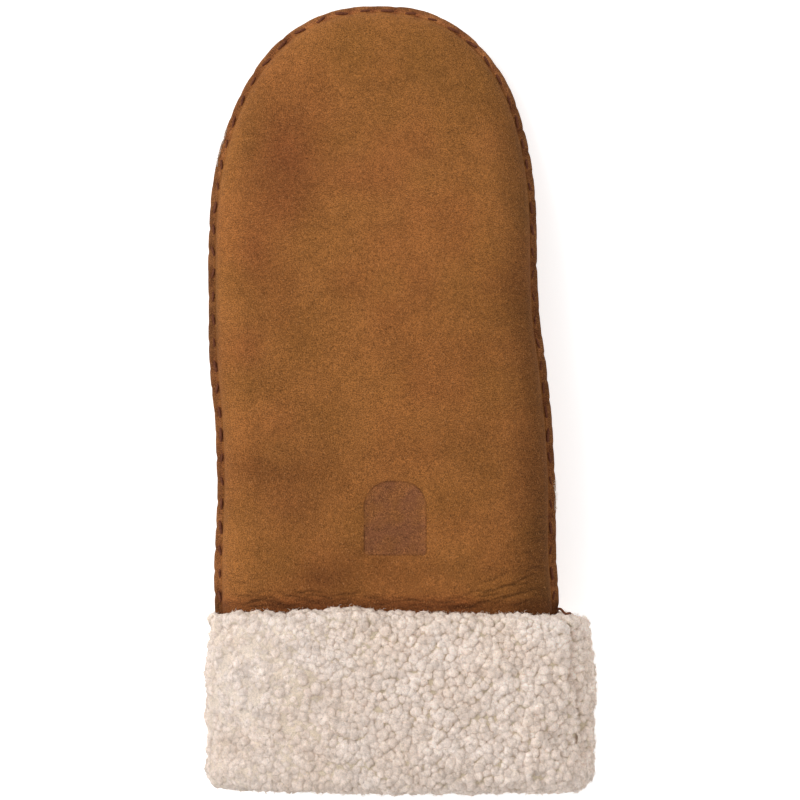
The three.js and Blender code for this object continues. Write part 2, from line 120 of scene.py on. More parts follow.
# Fine wrinkles, as the suede buckles over the cuff and beside the seam. x and y are the middle of each group,
# from the centre line and the fold. tilt is in degrees, and a group's count of wrinkles lie apart by as much.
CREASE_ROWS = [
    {"x": -47, "y": 60.2, "long": 12, "tilt": 12, "count": 5, "apart": 1.3, "deep": 0.3},
    {"x": -38, "y": 59.4, "long": 14, "tilt": -6, "count": 5, "apart": 1.1, "deep": 0.3},
    {"x": -28, "y": 60.2, "long": 14, "tilt": -9, "count": 5, "apart": 1.2, "deep": 0.32},
    {"x": -15, "y": 60.4, "long": 12, "tilt": 4, "count": 4, "apart": 1.3, "deep": 0.26},
    {"x": -4, "y": 59.4, "long": 12, "tilt": -4, "count": 4, "apart": 1.1, "deep": 0.24},
    {"x": 8, "y": 58.8, "long": 14, "tilt": -3, "count": 4, "apart": 1.2, "deep": 0.28},
    {"x": 21, "y": 58.6, "long": 14, "tilt": 2, "count": 4, "apart": 1.2, "deep": 0.3},
    {"x": 32, "y": 60.0, "long": 14, "tilt": 12, "count": 5, "apart": 1.3, "deep": 0.3},
    {"x": 41, "y": 63.0, "long": 15, "tilt": 20, "count": 6, "apart": 1.7, "deep": 0.32},
    {"x": 47, "y": 67.4, "long": 10, "tilt": 12, "count": 5, "apart": 1.9, "deep": 0.28},
    {"x": 50, "y": 79.6, "long": 8, "tilt": 5, "count": 3, "apart": 3.4, "deep": 0.3},
    {"x": 51, "y": 71.0, "long": 6, "tilt": -8, "count": 3, "apart": 2.2, "deep": 0.26},
    {"x": 52, "y": 91.0, "long": 5, "tilt": 5, "count": 3, "apart": 3.5, "deep": 0.25},
    {"x": -51, "y": 68.0, "long": 7, "tilt": -18, "count": 3, "apart": 2.2, "deep": 0.26},
    {"x": -52, "y": 96.0, "long": 6, "tilt": 6, "count": 2, "apart": 4.0, "deep": 0.22},
]
# Broad tones of the dye, each a stain wide and long about x and y. dark and red are shares.
TONE_ROWS = [
    {"x": -35, "y": 208, "wide": 10, "long": 17, "dark": 0.06, "red": 1.0},
    {"x": -45, "y": 176, "wide": 6, "long": 12, "dark": 0.05, "red": 0.5},
    {"x": 30, "y": 111, "wide": 15, "long": 9, "dark": 0.09, "red": 0.2},
    {"x": 43, "y": 94, "wide": 9, "long": 15, "dark": 0.05, "red": 0.2},
    {"x": -21, "y": 67, "wide": 11, "long": 5, "dark": 0.16, "red": 0.2},
    {"x": -13, "y": 76, "wide": 6, "long": 7, "dark": 0.07, "red": 0.1},
    {"x": -36, "y": 104, "wide": 16, "long": 6, "dark": 0.07, "red": 0.3},
    {"x": -47, "y": 148, "wide": 5, "long": 9, "dark": 0.05, "red": 0.3},
    {"x": -31, "y": 92, "wide": 8, "long": 5, "dark": 0.05, "red": 0.2},
    {"x": 22, "y": 70, "wide": 16, "long": 4, "dark": 0.06, "red": 0.1},
    {"x": 0, "y": 186, "wide": 17, "long": 30, "dark": -0.02, "red": 0.35},
    {"x": -24, "y": 97, "wide": 14, "long": 22, "dark": 0.06, "red": 0.1},
    {"x": -46, "y": 92, "wide": 10, "long": 20, "dark": 0.04, "red": 0.1},
    {"x": 6, "y": 128, "wide": 20, "long": 14, "dark": -0.03, "red": 0.1},
    {"x": 26, "y": 236, "wide": 18, "long": 15, "dark": 0.03, "red": -0.6},
    {"x": -4, "y": 250, "wide": 24, "long": 8, "dark": -0.01, "red": -0.4},
]
PATCH = {"x": 2.7, "y": 87.6, "half_width": 10.4, "half_height": 12.4, "top": 8.5, "base": 0.9, "deep": 0.45}


def curve_at(rows, column, at):
    """Reads a smooth curve through one column of a table, level where the column turns."""
    place = np.array([row["at"] for row in rows])
    value = np.array([row[column] for row in rows])
    slope = np.diff(value) / np.diff(place)
    together = slope[:-1] * slope[1:] > 0
    tangent = np.zeros(len(rows))
    both = np.where(together, slope[:-1] + slope[1:], 1)
    tangent[1:-1] = np.where(together, 2 * slope[:-1] * slope[1:] / both, 0)
    at = np.clip(at, place[0], place[-1])
    i = np.clip(np.searchsorted(place, at, side="right") - 1, 0, len(rows) - 2)
    span = place[i + 1] - place[i]
    t = (at - place[i]) / span
    rise = t * t * (3 - 2 * t)
    lean = t * (1 - t) ** 2 * tangent[i] - t * t * (1 - t) * tangent[i + 1]
    return value[i] * (1 - rise) + value[i + 1] * rise + span * lean


def outline(column, y):
    return SEAM_HALF_WIDTH * curve_at(OUTLINE_ROWS, column, np.asarray(y) / STRAIGHT_LENGTH)


def side_view(column, y):
    return curve_at(SIDE_ROWS, column, np.asarray(y) / SEAM_LENGTH)


def seam_z(y):
    return SEAM_HEIGHT * side_view("lift", y)


def rise_of(side, y):
    return BACK_RISE * side_view("back", y) if side > 0 else PALM_DROP * side_view("palm", y)


def rounded(value, roundness):
    return np.sign(value) * np.abs(value) ** (2 / roundness)


def smooth_step(value, low, high):
    t = np.clip((value - low) / (high - low), 0, 1)
    return t * t * (3 - 2 * t)


def soft_noise(x, y, size, seed):
    """Gentle unevenness between -1 and 1, in lumps about as large as size."""
    lattice = np.random.default_rng(seed).uniform(-1, 1, (64, 64))
    u, v = np.asarray(x) / size + 32, np.asarray(y) / size + 32
    i, j = np.floor(u).astype(int), np.floor(v).astype(int)
    s, t = u - i, v - j
    s, t = s * s * (3 - 2 * s), t * t * (3 - 2 * t)
    low = lattice[i % 64, j % 64] * (1 - s) + lattice[(i + 1) % 64, j % 64] * s
    high = lattice[i % 64, (j + 1) % 64] * (1 - s) + lattice[(i + 1) % 64, (j + 1) % 64] * s
    return low * (1 - t) + high * t


def seam_ribs(start):
    """Ribs from the seam to the bag's middle: up the right side, round the tip and down the left side."""
    places = []
    for row in RIB_ROWS:
        if row["to"] > start:
            count = math.ceil((row["to"] - start) / row["step"])
            places.append(np.linspace(start, row["to"], count, endpoint=False))
            start = row["to"]
    y = np.concatenate(places)
    reach = outline("half", y)
    spine = np.stack([outline("shift", y), y], 1)
    angle = np.linspace(0, math.pi, TIP_RIBS + 1)
    across = np.abs(np.cos(angle)) / outline("half", STRAIGHT_LENGTH)
    along = np.abs(np.sin(angle)) / TIP_LENGTH
    roundness = np.where(np.cos(angle) < 0, TIP_ROUNDNESS_LEFT, TIP_ROUNDNESS_RIGHT)
    tip_reach = (across**roundness + along**roundness) ** (-1 / roundness)
    focus = np.array([outline("shift", STRAIGHT_LENGTH), STRAIGHT_LENGTH])
    tip = focus + tip_reach[:, None] * np.stack([np.cos(angle), np.sin(angle)], 1)
    to_side = np.stack([reach, 0 * reach], 1)
    seam = np.concatenate([spine + to_side, tip, (spine - to_side)[::-1]])
    middle = np.concatenate([spine, np.tile(focus, (len(tip), 1)), spine[::-1]])
    step = np.gradient(seam, axis=0)
    step /= np.linalg.norm(step, axis=1)[:, None]
    run = np.concatenate([[0], np.cumsum(np.linalg.norm(np.diff(seam, axis=0), axis=1))])
    return {
        "seam": seam,
        "middle": middle,
        "reach": np.concatenate([reach, tip_reach, reach[::-1]]),
        "outward": np.stack([step[:, 1], -step[:, 0]], 1),
        "run": run,
    }


def crease_depth(x, y):
    """How deep the wrinkles above the cuff and beside the seam are at a point."""
    depth = np.zeros_like(x)
    stray = np.random.default_rng(12)
    for group, row in enumerate(CREASE_ROWS):
        for i in range(row["count"]):
            turn = math.radians(row["tilt"] + stray.uniform(-5, 5))
            along = stray.uniform(-0.3, 0.3) * row["long"]
            up = (i - (row["count"] - 1) / 2) * row["apart"]
            long, wide = row["long"] * stray.uniform(0.55, 1), stray.uniform(0.32, 0.5)
            away_x, away_y = x - row["x"] - along, y - row["y"] - up
            u = away_x * math.cos(turn) + away_y * math.sin(turn)
            v = away_y * math.cos(turn) - away_x * math.sin(turn)
            v = v + 0.8 * soft_noise(u, np.full_like(u, 9.0 * group + 3.7 * i), 3.5, 5)
            depth += row["deep"] * np.exp(-((v / wide) ** 2) - (2 * u / long) ** 4)
    return depth


def patch_distance(x, y):
    """The distance inwards from the pressed patch's edge, negative outside it. Its top is arched."""
    corner = np.where(y > PATCH["y"], PATCH["top"], PATCH["base"])
    across = np.abs(x - PATCH["x"]) - PATCH["half_width"] + corner
    along = np.abs(y - PATCH["y"]) - PATCH["half_height"] + corner
    outside = np.hypot(np.maximum(across, 0), np.maximum(along, 0))
    return corner - outside - np.minimum(np.maximum(across, along), 0)


def back_relief(x, y):
    """How far the back sinks at a point: dents, uneven hide, creases and the pressed patch."""
    sink = np.zeros_like(x)
    for row in DENT_ROWS:
        u = (x - row["across"] * SEAM_HALF_WIDTH) / (row["wide"] * SEAM_HALF_WIDTH)
        v = (y - row["along"] * SEAM_LENGTH) / (row["long"] * SEAM_LENGTH)
        sink += row["deep"] * BACK_RISE * np.exp(-u * u - v * v)
    sink += 0.35 * soft_noise(x, y, 19, 1) + 0.14 * soft_noise(x, y, 8, 2) + 0.05 * soft_noise(x, y, 3.5, 3)
    sink += crease_depth(x, y)
    inside = patch_distance(x, y)
    sink += PATCH["deep"] * smooth_step(inside, -0.7, 0.5)
    return sink


def dye_and_painted_shade(x, y):
    """How much darker and how much redder the back is at a point: the dye's uneven tones and stains, with
    painted shade down the right, on the left lip and along the cuff, and a painted highlight along the left
    edge.
    """
    dark, red = 0.03 * soft_noise(x, y, 15, 6), 0.3 * soft_noise(x, y, 12, 7)
    for row in TONE_ROWS:
        near = np.exp(-(((x - row["x"]) / row["wide"]) ** 2) - ((y - row["y"]) / row["long"]) ** 2)
        dark += row["dark"] * near
        red += row["red"] * near
    share = (x - outline("shift", y)) / outline("half", y)
    # Painted shade down the right side, and low on the right, away from the key light.
    dark += 0.2 * smooth_step(share, 0.7, 0.97)
    dark += 0.04 * smooth_step(share, 0.5, 0.95) * smooth_step(y, 130, 80)
    # A painted highlight along the left edge, where the key light catches the crown, and a little painted
    # shade over the rest of the left.
    dark -= 0.07 * smooth_step(share, -0.78, -0.9) * smooth_step(share, -1.02, -0.93)
    dark += 0.03 * smooth_step(share, -0.2, -0.6)
    # Painted shade on the left lip, high up the side.
    dark += 0.13 * smooth_step(share, -0.97, -1.0) * smooth_step(y, 135, 150) * smooth_step(y, 215, 200)
    # A reddened painted shadow along the cuff's edge, where the wool meets the suede.
    dark += 0.05 * smooth_step(y, 66, 56) + 0.12 * smooth_step(y, 61, 57.5)
    red += 0.7 * smooth_step(y, 63, 57.5)
    return dark, red


def palm_relief(x, y):
    return 0.4 * soft_noise(x, y, 21, 11) + 0.15 * soft_noise(x, y, 8, 12)


def wall_points(ribs, turn, side, depth, start):
    """Points of a wall, rib by rib. turn is 0 at the seam and a quarter turn at the middle. depth is measured
    inwards from the suede face, and start is the height above the seam's plane where the wall leaves it."""
    out = rounded(np.cos(turn), WALL_ROUNDNESS)[None, :]
    up = rounded(np.sin(turn), WALL_ROUNDNESS)[None, :]
    share = np.maximum(1 - depth / ribs["reach"], 0)[:, None] * out
    x = ribs["middle"][:, :1] * (1 - share) + ribs["seam"][:, :1] * share
    y = ribs["middle"][:, 1:] * (1 - share) + ribs["seam"][:, 1:] * share
    relief = back_relief(x, y) if side > 0 else palm_relief(x, y)
    z = seam_z(y) + side * (start + (rise_of(side, y) - relief - depth - start) * up)
    return np.stack([x, y, np.maximum(z, depth)], 2)


# The seam's lip in section: out is a share of its width, high of the height at which the wall leaves it.
LIP_ROWS = [
    {"out": 0.1, "high": 0.84},
    {"out": 0.22, "high": 0.78},
    {"out": 0.36, "high": 0.77},
    {"out": 0.5, "high": 0.8},
    {"out": 0.66, "high": 0.86},
    {"out": 0.8, "high": 0.84},
    {"out": 0.92, "high": 0.68},
    {"out": 0.99, "high": 0.4},
    {"out": 1.0, "high": 0.15},
]


def lip_points(ribs, side, top, floor):
    """The lip past the stitches. Each stitch pinches it, so its raw edge is a row of shallow scallops."""
    past_cuff = smooth_step(ribs["seam"][:, 1], CUFF_HEIGHT - SEAM_LIP, CUFF_HEIGHT)
    pinch = (0.5 + 0.5 * np.cos(2 * math.pi * ribs["run"] / STITCH_PITCH)) ** 6
    pinch *= 0.65 + 0.35 * soft_noise(ribs["run"], 0 * ribs["run"], STITCH_PITCH, 23)
    uneven = 0.09 * soft_noise(ribs["run"], 0 * ribs["run"], 13, 22)
    width = (LIP_UNDER_CUFF + (SEAM_LIP - LIP_UNDER_CUFF) * past_cuff) * (1 + uneven - 0.15 * pinch)
    columns = []
    for row in LIP_ROWS:
        edge = ribs["seam"] + ribs["outward"] * (width * row["out"])[:, None]
        high = floor + (top - floor) * row["high"] * (1 - 0.2 * pinch)
        columns.append(np.stack([edge[:, 0], edge[:, 1], seam_z(edge[:, 1]) + side * high], 1))
    return np.stack(columns, 1)


def sheet_faces(rows, columns, first=0, turned=False):
    corner = first + np.arange(rows - 1)[:, None] * columns + np.arange(columns - 1)[None, :]
    corner = corner.ravel()
    faces = np.stack([corner, corner + 1, corner + columns + 1, corner + columns], 1)
    return faces[:, ::-1] if turned else faces


def new_object(name, data):
    piece = bpy.data.objects.new(name, data)
    bpy.context.scene.collection.objects.link(piece)
    return piece


def placed_mesh(name, points, faces, shades=None):
    """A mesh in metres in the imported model's frame, with its doubles merged and its faces out."""
    mesh = bpy.data.meshes.new(name)
    place = (np.asarray(points).reshape(-1, 3) + SHIFT) / 1000
    mesh.from_pydata(place.tolist(), [], faces.tolist() if isinstance(faces, np.ndarray) else faces)
    for shade, values in (shades or {}).items():
        attribute = mesh.attributes.new(shade, "FLOAT", "POINT")
        attribute.data.foreach_set("value", np.asarray(values, np.float32).ravel())
    work = bmesh.new()
    work.from_mesh(mesh)
    bmesh.ops.remove_doubles(work, verts=work.verts, dist=2e-6)
    if work.calc_volume(signed=True) < 0:
        bmesh.ops.reverse_faces(work, faces=work.faces)
    work.to_mesh(mesh)
    work.free()
    mesh.shade_smooth()
    return new_object(name, mesh)


def closed_wall(outer, inner, open_sides):
    """Points and faces of a wall between two sheets of the same size, closed along its open sides."""
    rows, columns = outer.shape[:2]
    count = rows * columns
    along, up = np.arange(columns - 1), np.arange(rows - 1) * columns
    sides = {
        "first row": (along, 1, True),
        "last row": ((rows - 1) * columns + along, 1, False),
        "first column": (up, columns, False),
        "last column": (up + columns - 1, columns, True),
    }
    faces = [sheet_faces(rows, columns), sheet_faces(rows, columns, count, turned=True)]
    for side in open_sides:
        a, step, turned = sides[side]
        strip = np.stack([a, a + step, a + step + count, a + count], 1)
        faces.append(strip[:, ::-1] if turned else strip)
    return np.concatenate([outer.reshape(-1, 3), inner.reshape(-1, 3)]), np.concatenate(faces)


def rib_turns():
    """Turns of a wall's points from its middle to the seam: level steps on the flat, then round it."""
    power = WALL_ROUNDNESS / 2
    flat = np.arccos(np.linspace(0, FLAT_SHARE, FLAT_STEPS, endpoint=False) ** power)
    edge = np.linspace(math.acos(FLAT_SHARE**power), 0, EDGE_STEPS + 1)
    return np.concatenate([flat, edge])


def thinned(ribs, step):
    """Every so many ribs, and always the last."""
    count = len(ribs["run"])
    kept = np.append(np.arange(0, count - 1, step), count - 1)
    return {key: values[kept] for key, values in ribs.items()}


def stitch_shading(ribs, turn, out, side):
    """How much painted shade darkens the suede round each stitch, where the thread pinches it, more at some
    stitches than at others.
    """
    beside = np.concatenate([0.8 * smooth_step(turn, 0.2, 0.02), 1 - out**4])
    phase = ribs["run"] / STITCH_PITCH - (0 if side > 0 else 0.5)
    uneven = soft_noise(ribs["run"], 0 * ribs["run"], STITCH_PITCH, 37)
    pulled = (0.5 + 0.5 * np.cos(2 * math.pi * phase)) ** 2 * np.clip(0.55 + 0.75 * uneven, 0, 1)
    return pulled[:, None] * beside[None, :]


def seam_painted_light(ribs, turn, out):
    """How much painted light lifts the back's painted shade at the foot of the seam on the right and round
    the tip, and low on the right over the whole lip.
    """
    facing, along = ribs["outward"][:, 0], ribs["seam"][:, 1]
    foot = np.concatenate([smooth_step(turn, 0.16, 0.02), smooth_step(out, 0.62, 0.34)])
    whole = np.concatenate([smooth_step(turn, 0.1, 0.02), 0 * out + 1])
    fade_and_painted_light = 0.12 * smooth_step(facing, -0.75, -0.35)[:, None] * foot[None, :]
    fade_and_painted_light += 0.1 * (smooth_step(facing, 0, 0.5) * smooth_step(along, 125, 90))[:, None] * whole[None, :]
    return fade_and_painted_light


def on_both_faces(shade):
    return np.stack([shade, shade])


def hide_panel(name, side):
    """One panel as a wall with its lip, and the shades that its material reads."""
    ribs = seam_ribs(FOLD_CENTRE + GAP)
    if side < 0:
        ribs = thinned(ribs, PALM_RIB_STEP)
    turn = rib_turns()
    lip_top = GAP / 2 + HIDE
    outer = wall_points(ribs, turn, side, 0, lip_top)
    inner = wall_points(ribs, turn, side, HIDE, GAP / 2)
    outer = np.concatenate([outer, lip_points(ribs, side, lip_top, GAP / 2)], 1)
    inner_lip = lip_points(ribs, side, lip_top, GAP / 2)
    inner_lip[:, :, 2] = seam_z(inner_lip[:, :, 1]) + side * GAP / 2
    inner = np.concatenate([inner, inner_lip], 1)
    points, faces = closed_wall(outer, inner, ("first row", "last row", "last column"))
    out = np.array([row["out"] for row in LIP_ROWS])
    on_lip = np.concatenate([0 * turn, out])[None, :] + 0 * ribs["run"][:, None]
    stitch_shade = stitch_shading(ribs, turn, out, side)
    shades = {"lip": on_both_faces(on_lip), "stitch_shade": on_both_faces(stitch_shade)}
    if side > 0:
        x, y = points[:, 0], points[:, 1]
        # dark carries the dye's tones together with painted shade and highlight, less the painted light at
        # the seam's foot.
        shades["dark"], shades["red"] = dye_and_painted_shade(x, y)
        shades["dark"] -= on_both_faces(seam_painted_light(ribs, turn, out)).ravel()
        shades["crease"] = crease_depth(x, y)
        shades["inset"] = np.clip(patch_distance(x, y), -3, 3)
    return placed_mesh(name, points, faces, shades)


seam = seam_ribs(FOLD_CENTRE + GAP)
design_width = (np.min(seam["seam"][:, 0]), np.max(seam["seam"][:, 0]))
palm_low, palm_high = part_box("palm_panel")
SHIFT = np.array(
    [
        500 * (palm_low.x + palm_high.x) - sum(design_width) / 2,
        1000 * palm_high.y - SEAM_LENGTH - SEAM_LIP,
        0,
    ]
)
back_hide = hide_panel("back_hide", 1)
palm_hide = hide_panel("palm_hide", -1)


def new_material(name):
    material = bpy.data.materials.new(name)
    material.use_nodes = True
    return material, material.node_tree, material.node_tree.nodes["Principled BSDF"]


def add_node(tree, kind, inputs=None, **settings):
    """Adds a node with its settings, each input set to a value or linked from another node's output."""
    node = tree.nodes.new(kind)
    for key, value in settings.items():
        setattr(node, key, value)
    for key, value in (inputs or {}).items():
        if isinstance(value, bpy.types.NodeSocket):
            tree.links.new(value, node.inputs[key])
        else:
            node.inputs[key].default_value = value
    return node


def colour(red, green, blue):
    """A colour given as it shows on a screen, out of 255."""
    def to_light(value):
        value /= 255
        return value / 12.92 if value <= 0.04045 else ((value + 0.055) / 1.055) ** 2.4

    return (to_light(red), to_light(green), to_light(blue), 1)


def mixed(tree, share, one, other, blend="MIX"):
    node = add_node(tree, "ShaderNodeMix", data_type="RGBA", blend_type=blend, clamp_factor=True)
    for index, value in ((0, share), (6, one), (7, other)):
        if isinstance(value, bpy.types.NodeSocket):
            tree.links.new(value, node.inputs[index])
        else:
            node.inputs[index].default_value = value
    return node.outputs[2]


def shaded(tree, value, low, high, to_low=0.0, to_high=1.0):
    node = add_node(tree, "ShaderNodeMapRange", {0: value, 1: low, 2: high, 3: to_low, 4: to_high})
    return node.outputs[0]


def noise(tree, where, size, detail=2.0, roughness=0.5, distortion=0.0):
    inputs = {
        "Vector": where,
        "Scale": 1000 / size,
        "Detail": detail,
        "Roughness": roughness,
        "Distortion": distortion,
    }
    return add_node(tree, "ShaderNodeTexNoise", inputs).outputs["Fac"]


def worked_out(tree, operation, *values):
    """A number worked out from others."""
    return add_node(tree, "ShaderNodeMath", dict(enumerate(values)), operation=operation).outputs[0]


def product(tree, one, other):
    return worked_out(tree, "MULTIPLY", one, other)


def scaled_by(tree, vector, factor):
    return add_node(tree, "ShaderNodeVectorMath", {0: vector, "Scale": factor}, operation="SCALE").outputs[0]


def toned(tree, base, value, low, high, dark, light):
    """A colour times a factor that runs from dark to light as the value goes from low to high."""
    return scaled_by(tree, base, shaded(tree, value, low, high, dark, light))


def read_shade(tree, name):
    return add_node(tree, "ShaderNodeAttribute", attribute_name=name).outputs["Fac"]


def bumped(tree, height, strength, deep, under=None):
    """The normal of a surface roughened by a height, over another normal if given. deep is in metres."""
    inputs = {"Height": height, "Strength": strength, "Distance": deep}
    if under is not None:
        inputs["Normal"] = under
    return add_node(tree, "ShaderNodeBump", inputs).outputs[0]


def finish_shader(tree, shader, base, normal, values):
    """Gives a surface its colour, its roughened normal and its set values."""
    tree.links.new(base, shader.inputs["Base Color"])
    tree.links.new(normal, shader.inputs["Normal"])
    for key, value in values.items():
        shader.inputs[key].default_value = value


def back_marks(tree, where, base):
    """The back's uneven dye, painted shade in its creases, and its pressed patch, darkest along the patch's
    edge.
    """
    red = read_shade(tree, "red")
    base = mixed(tree, shaded(tree, red, 0, 1, 0, 0.75), base, colour(130, 72, 39))
    base = mixed(tree, shaded(tree, red, 0, -1, 0, 0.75), base, colour(124, 82, 37))
    # Painted shade in the creases.
    base = toned(tree, base, read_shade(tree, "crease"), 0.03, 0.4, 1.0, 0.5)
    inset = read_shade(tree, "inset")
    fade_and_painted_light = shaded(tree, noise(tree, where, 7, 2), 0.35, 0.62, 0.42, 0.95)
    base = mixed(tree, product(tree, shaded(tree, inset, -0.2, 0.4), fade_and_painted_light), base, colour(116, 72, 46))
    line = product(tree, shaded(tree, inset, -0.5, -0.1), shaded(tree, inset, 0.35, 0.0))
    return mixed(tree, product(tree, product(tree, line, fade_and_painted_light), 0.75), base, colour(70, 38, 24))


def raw_edge(tree, where, base):
    """The lip, drawn paler than the suede and lighter still on its inner part as painted light against its
    groove's shade, with painted shade round each stitch and darkening it to its rim.
    """
    lip = read_shade(tree, "lip")
    worn = noise(tree, where, 9, 2)
    # Painted light: the lip's colour is paler than the suede's.
    edge = mixed(tree, shaded(tree, worn, 0.42, 0.6), colour(128, 80, 46), colour(150, 98, 58))
    base = mixed(tree, shaded(tree, lip, 0.08, 0.3), base, edge)
    # Painted shade round each stitch.
    base = mixed(tree, product(tree, read_shade(tree, "stitch_shade"), 0.7), base, colour(92, 46, 28))
    # Painted light on the lip's inner part, then painted shade towards its rim.
    base = toned(tree, base, lip, 0.12, 0.4, 1.0, 1.12)
    return toned(tree, base, lip, 0.45, 1.0, 1.0, 0.66)


def suede_material(name, has_marks):
    """Tan suede: a short nap brushed this way and that, clouded where the dye took unevenly, with the lip's
    painted light and shade and, on the back, painted shade and highlight down its sides and in its creases.
    """
    material, tree, shader = new_material(name)
    where = add_node(tree, "ShaderNodeTexCoord").outputs["Object"]
    stroke = {"Vector": where, "Rotation": (0, 0, 0.6), "Scale": (1, 0.65, 1)}
    brushed = add_node(tree, "ShaderNodeMapping", stroke).outputs[0]
    clouds = noise(tree, where, 21, 3, 0.55)
    mottle = noise(tree, where, 5, 4, 0.62)
    grain = noise(tree, where, 1.5, 2, 0.5)
    nap = noise(tree, where, 0.34, 1, 0.6)
    fleck = noise(tree, brushed, 0.42, 1, 0.5, 0.3)
    base = mixed(tree, shaded(tree, clouds, 0.35, 0.65), colour(127, 80, 38), colour(139, 88, 44))
    if has_marks:
        base = back_marks(tree, where, base)
    base = raw_edge(tree, where, base)
    if has_marks:
        # dark holds the dye's tones and the back's painted shade and highlight.
        base = toned(tree, base, read_shade(tree, "dark"), -0.3, 0.3, 1.6, 0.4)
    base = toned(tree, base, mottle, 0.3, 0.7, 1.1, 0.9)
    base = toned(tree, base, grain, 0.3, 0.7, 1.1, 0.9)
    base = toned(tree, base, nap, 0.3, 0.7, 0.44, 1.56)
    base = mixed(tree, shaded(tree, fleck, 0.62, 0.74, 0, 0.5), base, colour(172, 118, 72))
    base = mixed(tree, shaded(tree, fleck, 0.36, 0.27, 0, 0.45), base, colour(84, 48, 24))
    fine = bumped(tree, nap, 0.9, 0.25 * MM)
    grained = bumped(tree, grain, 0.5, 0.4 * MM, fine)
    rough = bumped(tree, mottle, 0.4, 0.8 * MM, grained)
    values = {
        "Roughness": 0.95,
        "Specular IOR Level": 0.12,
        "Sheen Weight": 0.08,
        "Sheen Roughness": 0.5,
        "Sheen Tint": colour(200, 140, 84),
    }
    finish_shader(tree, shader, base, rough, values)
    return material


back_suede = suede_material("back_suede", True)
plain_suede = suede_material("plain_suede", False)
back_hide.data.materials.append(back_suede)
palm_hide.data.materials.append(plain_suede)
for panel, node_name in ((back_hide, "back_panel"), (palm_hide, "palm_panel")):
    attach(panel, "root")
    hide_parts(node_name)

# Seam stitches. A waxed dark-brown thread runs through both lips, one dash to each pitch, and sinks into the
# hide at its ends. The palm shows the same thread in the spaces between the dashes of the back.
DASH = {"length": 3.7, "thickness": 1.05, "rise": 0.66, "wobble": 0.26}
STITCH_LINE = 0.33
STITCH_LEVEL = 0.6
STITCH_CLEAR = 0.12


def geometry_tree(name, sizes):
    """An empty node tree with an input for each named size, and the sockets that its inputs come from."""
    tree = bpy.data.node_groups.new(name, "GeometryNodeTree")
    tree.interface.new_socket("Geometry", in_out="INPUT", socket_type="NodeSocketGeometry")
    for size, value in sizes.items():
        kind = "NodeSocketInt" if isinstance(value, int) else "NodeSocketFloat"
        tree.interface.new_socket(size, in_out="INPUT", socket_type=kind)
    tree.interface.new_socket("Geometry", in_out="OUTPUT", socket_type="NodeSocketGeometry")
    entry = tree.nodes.new("NodeGroupInput")
    return tree, entry.outputs


def finish_tree(tree, geometry, material):
    """Ends a tree in real geometry with its material set."""
    solid = add_node(tree, "GeometryNodeRealizeInstances", {"Geometry": geometry})
    smooth = add_node(tree, "GeometryNodeSetShadeSmooth", {"Geometry": solid.outputs[0]})
    coated = add_node(tree, "GeometryNodeSetMaterial", {"Geometry": smooth.outputs[0], "Material": material})
    way_out = tree.nodes.new("NodeGroupOutput")
    tree.links.new(coated.outputs[0], way_out.inputs[0])


def grown(name, base, tree, sizes):
    """Runs a tree over a base mesh and keeps what it makes as a mesh of its own. Sizes are in millimetres."""
    growth = base.modifiers.new(name, "NODES")
    growth.node_group = tree
    for item in tree.interface.items_tree:
        if item.in_out == "INPUT" and item.name in sizes:
            growth[item.identifier] = sizes[item.name]
    evaluated = base.evaluated_get(bpy.context.evaluated_depsgraph_get())
    mesh = bpy.data.meshes.new_from_object(evaluated)
    base.modifiers.remove(growth)
    return new_object(name, mesh)


def path_piece(name, points, outwards=None):
    """A chain of edges through the points, for stitches and fibres to follow."""
    mesh = bpy.data.meshes.new(name)
    place = (np.asarray(points) + SHIFT) / 1000
    mesh.from_pydata(place.tolist(), [(i, i + 1) for i in range(len(place) - 1)], [])
    if outwards is not None:
        attribute = mesh.attributes.new("outwards", "FLOAT_VECTOR", "POINT")
        attribute.data.foreach_set("vector", np.asarray(outwards, np.float32).ravel())
    return new_object(name, mesh)


def thread_material():
    material, tree, shader = new_material("waxed_thread")
    where = add_node(tree, "ShaderNodeTexCoord").outputs["Object"]
    strand = noise(tree, where, 0.6, 3, 0.6)
    base = mixed(tree, shaded(tree, strand, 0.35, 0.7), colour(80, 42, 26), colour(116, 68, 44))
    twisted = bumped(tree, strand, 0.6, 0.2 * MM)
    finish_shader(tree, shader, base, twisted, {"Roughness": 0.7, "Specular IOR Level": 0.15})
    return material


def random_between(tree, low, high, seed):
    node = add_node(tree, "FunctionNodeRandomValue", {2: low, 3: high, "Seed": seed}, data_type="FLOAT")
    return node.outputs[1]


def random_about_one(tree, spread, seed):
    """A random factor between 1 less the spread and 1 with it."""
    least = worked_out(tree, "SUBTRACT", 1.0, spread)
    most = worked_out(tree, "ADD", 1.0, spread)
    return random_between(tree, least, most, seed)


def random_turn(tree, rotation, low, high, seed):
    """A rotation turned further by random angles about its own axes."""
    between_turns = {0: low, 1: high, "Seed": seed}
    turn = add_node(tree, "FunctionNodeRandomValue", between_turns, data_type="FLOAT_VECTOR").outputs[0]
    euler = add_node(tree, "FunctionNodeEulerToRotation", {0: turn}).outputs[0]
    both = {"Rotation": rotation, "Rotate By": euler}
    return add_node(tree, "FunctionNodeRotateRotation", both, rotation_space="LOCAL").outputs[0]


def path_curve(tree, size):
    return add_node(tree, "GeometryNodeMeshToCurve", {"Mesh": size["Geometry"]}).outputs[0]


def steps_along(tree, curve, apart):
    """A curve cut into even steps, apart in millimetres."""
    even = {"Curve": curve, "Length": product(tree, apart, MM)}
    return add_node(tree, "GeometryNodeResampleCurve", even, mode="LENGTH").outputs[0]


def round_section(tree, thickness, sides):
    inputs = {"Resolution": sides, "Radius": product(tree, thickness, MM / 2)}
    return add_node(tree, "GeometryNodeCurvePrimitiveCircle", inputs).outputs[0]


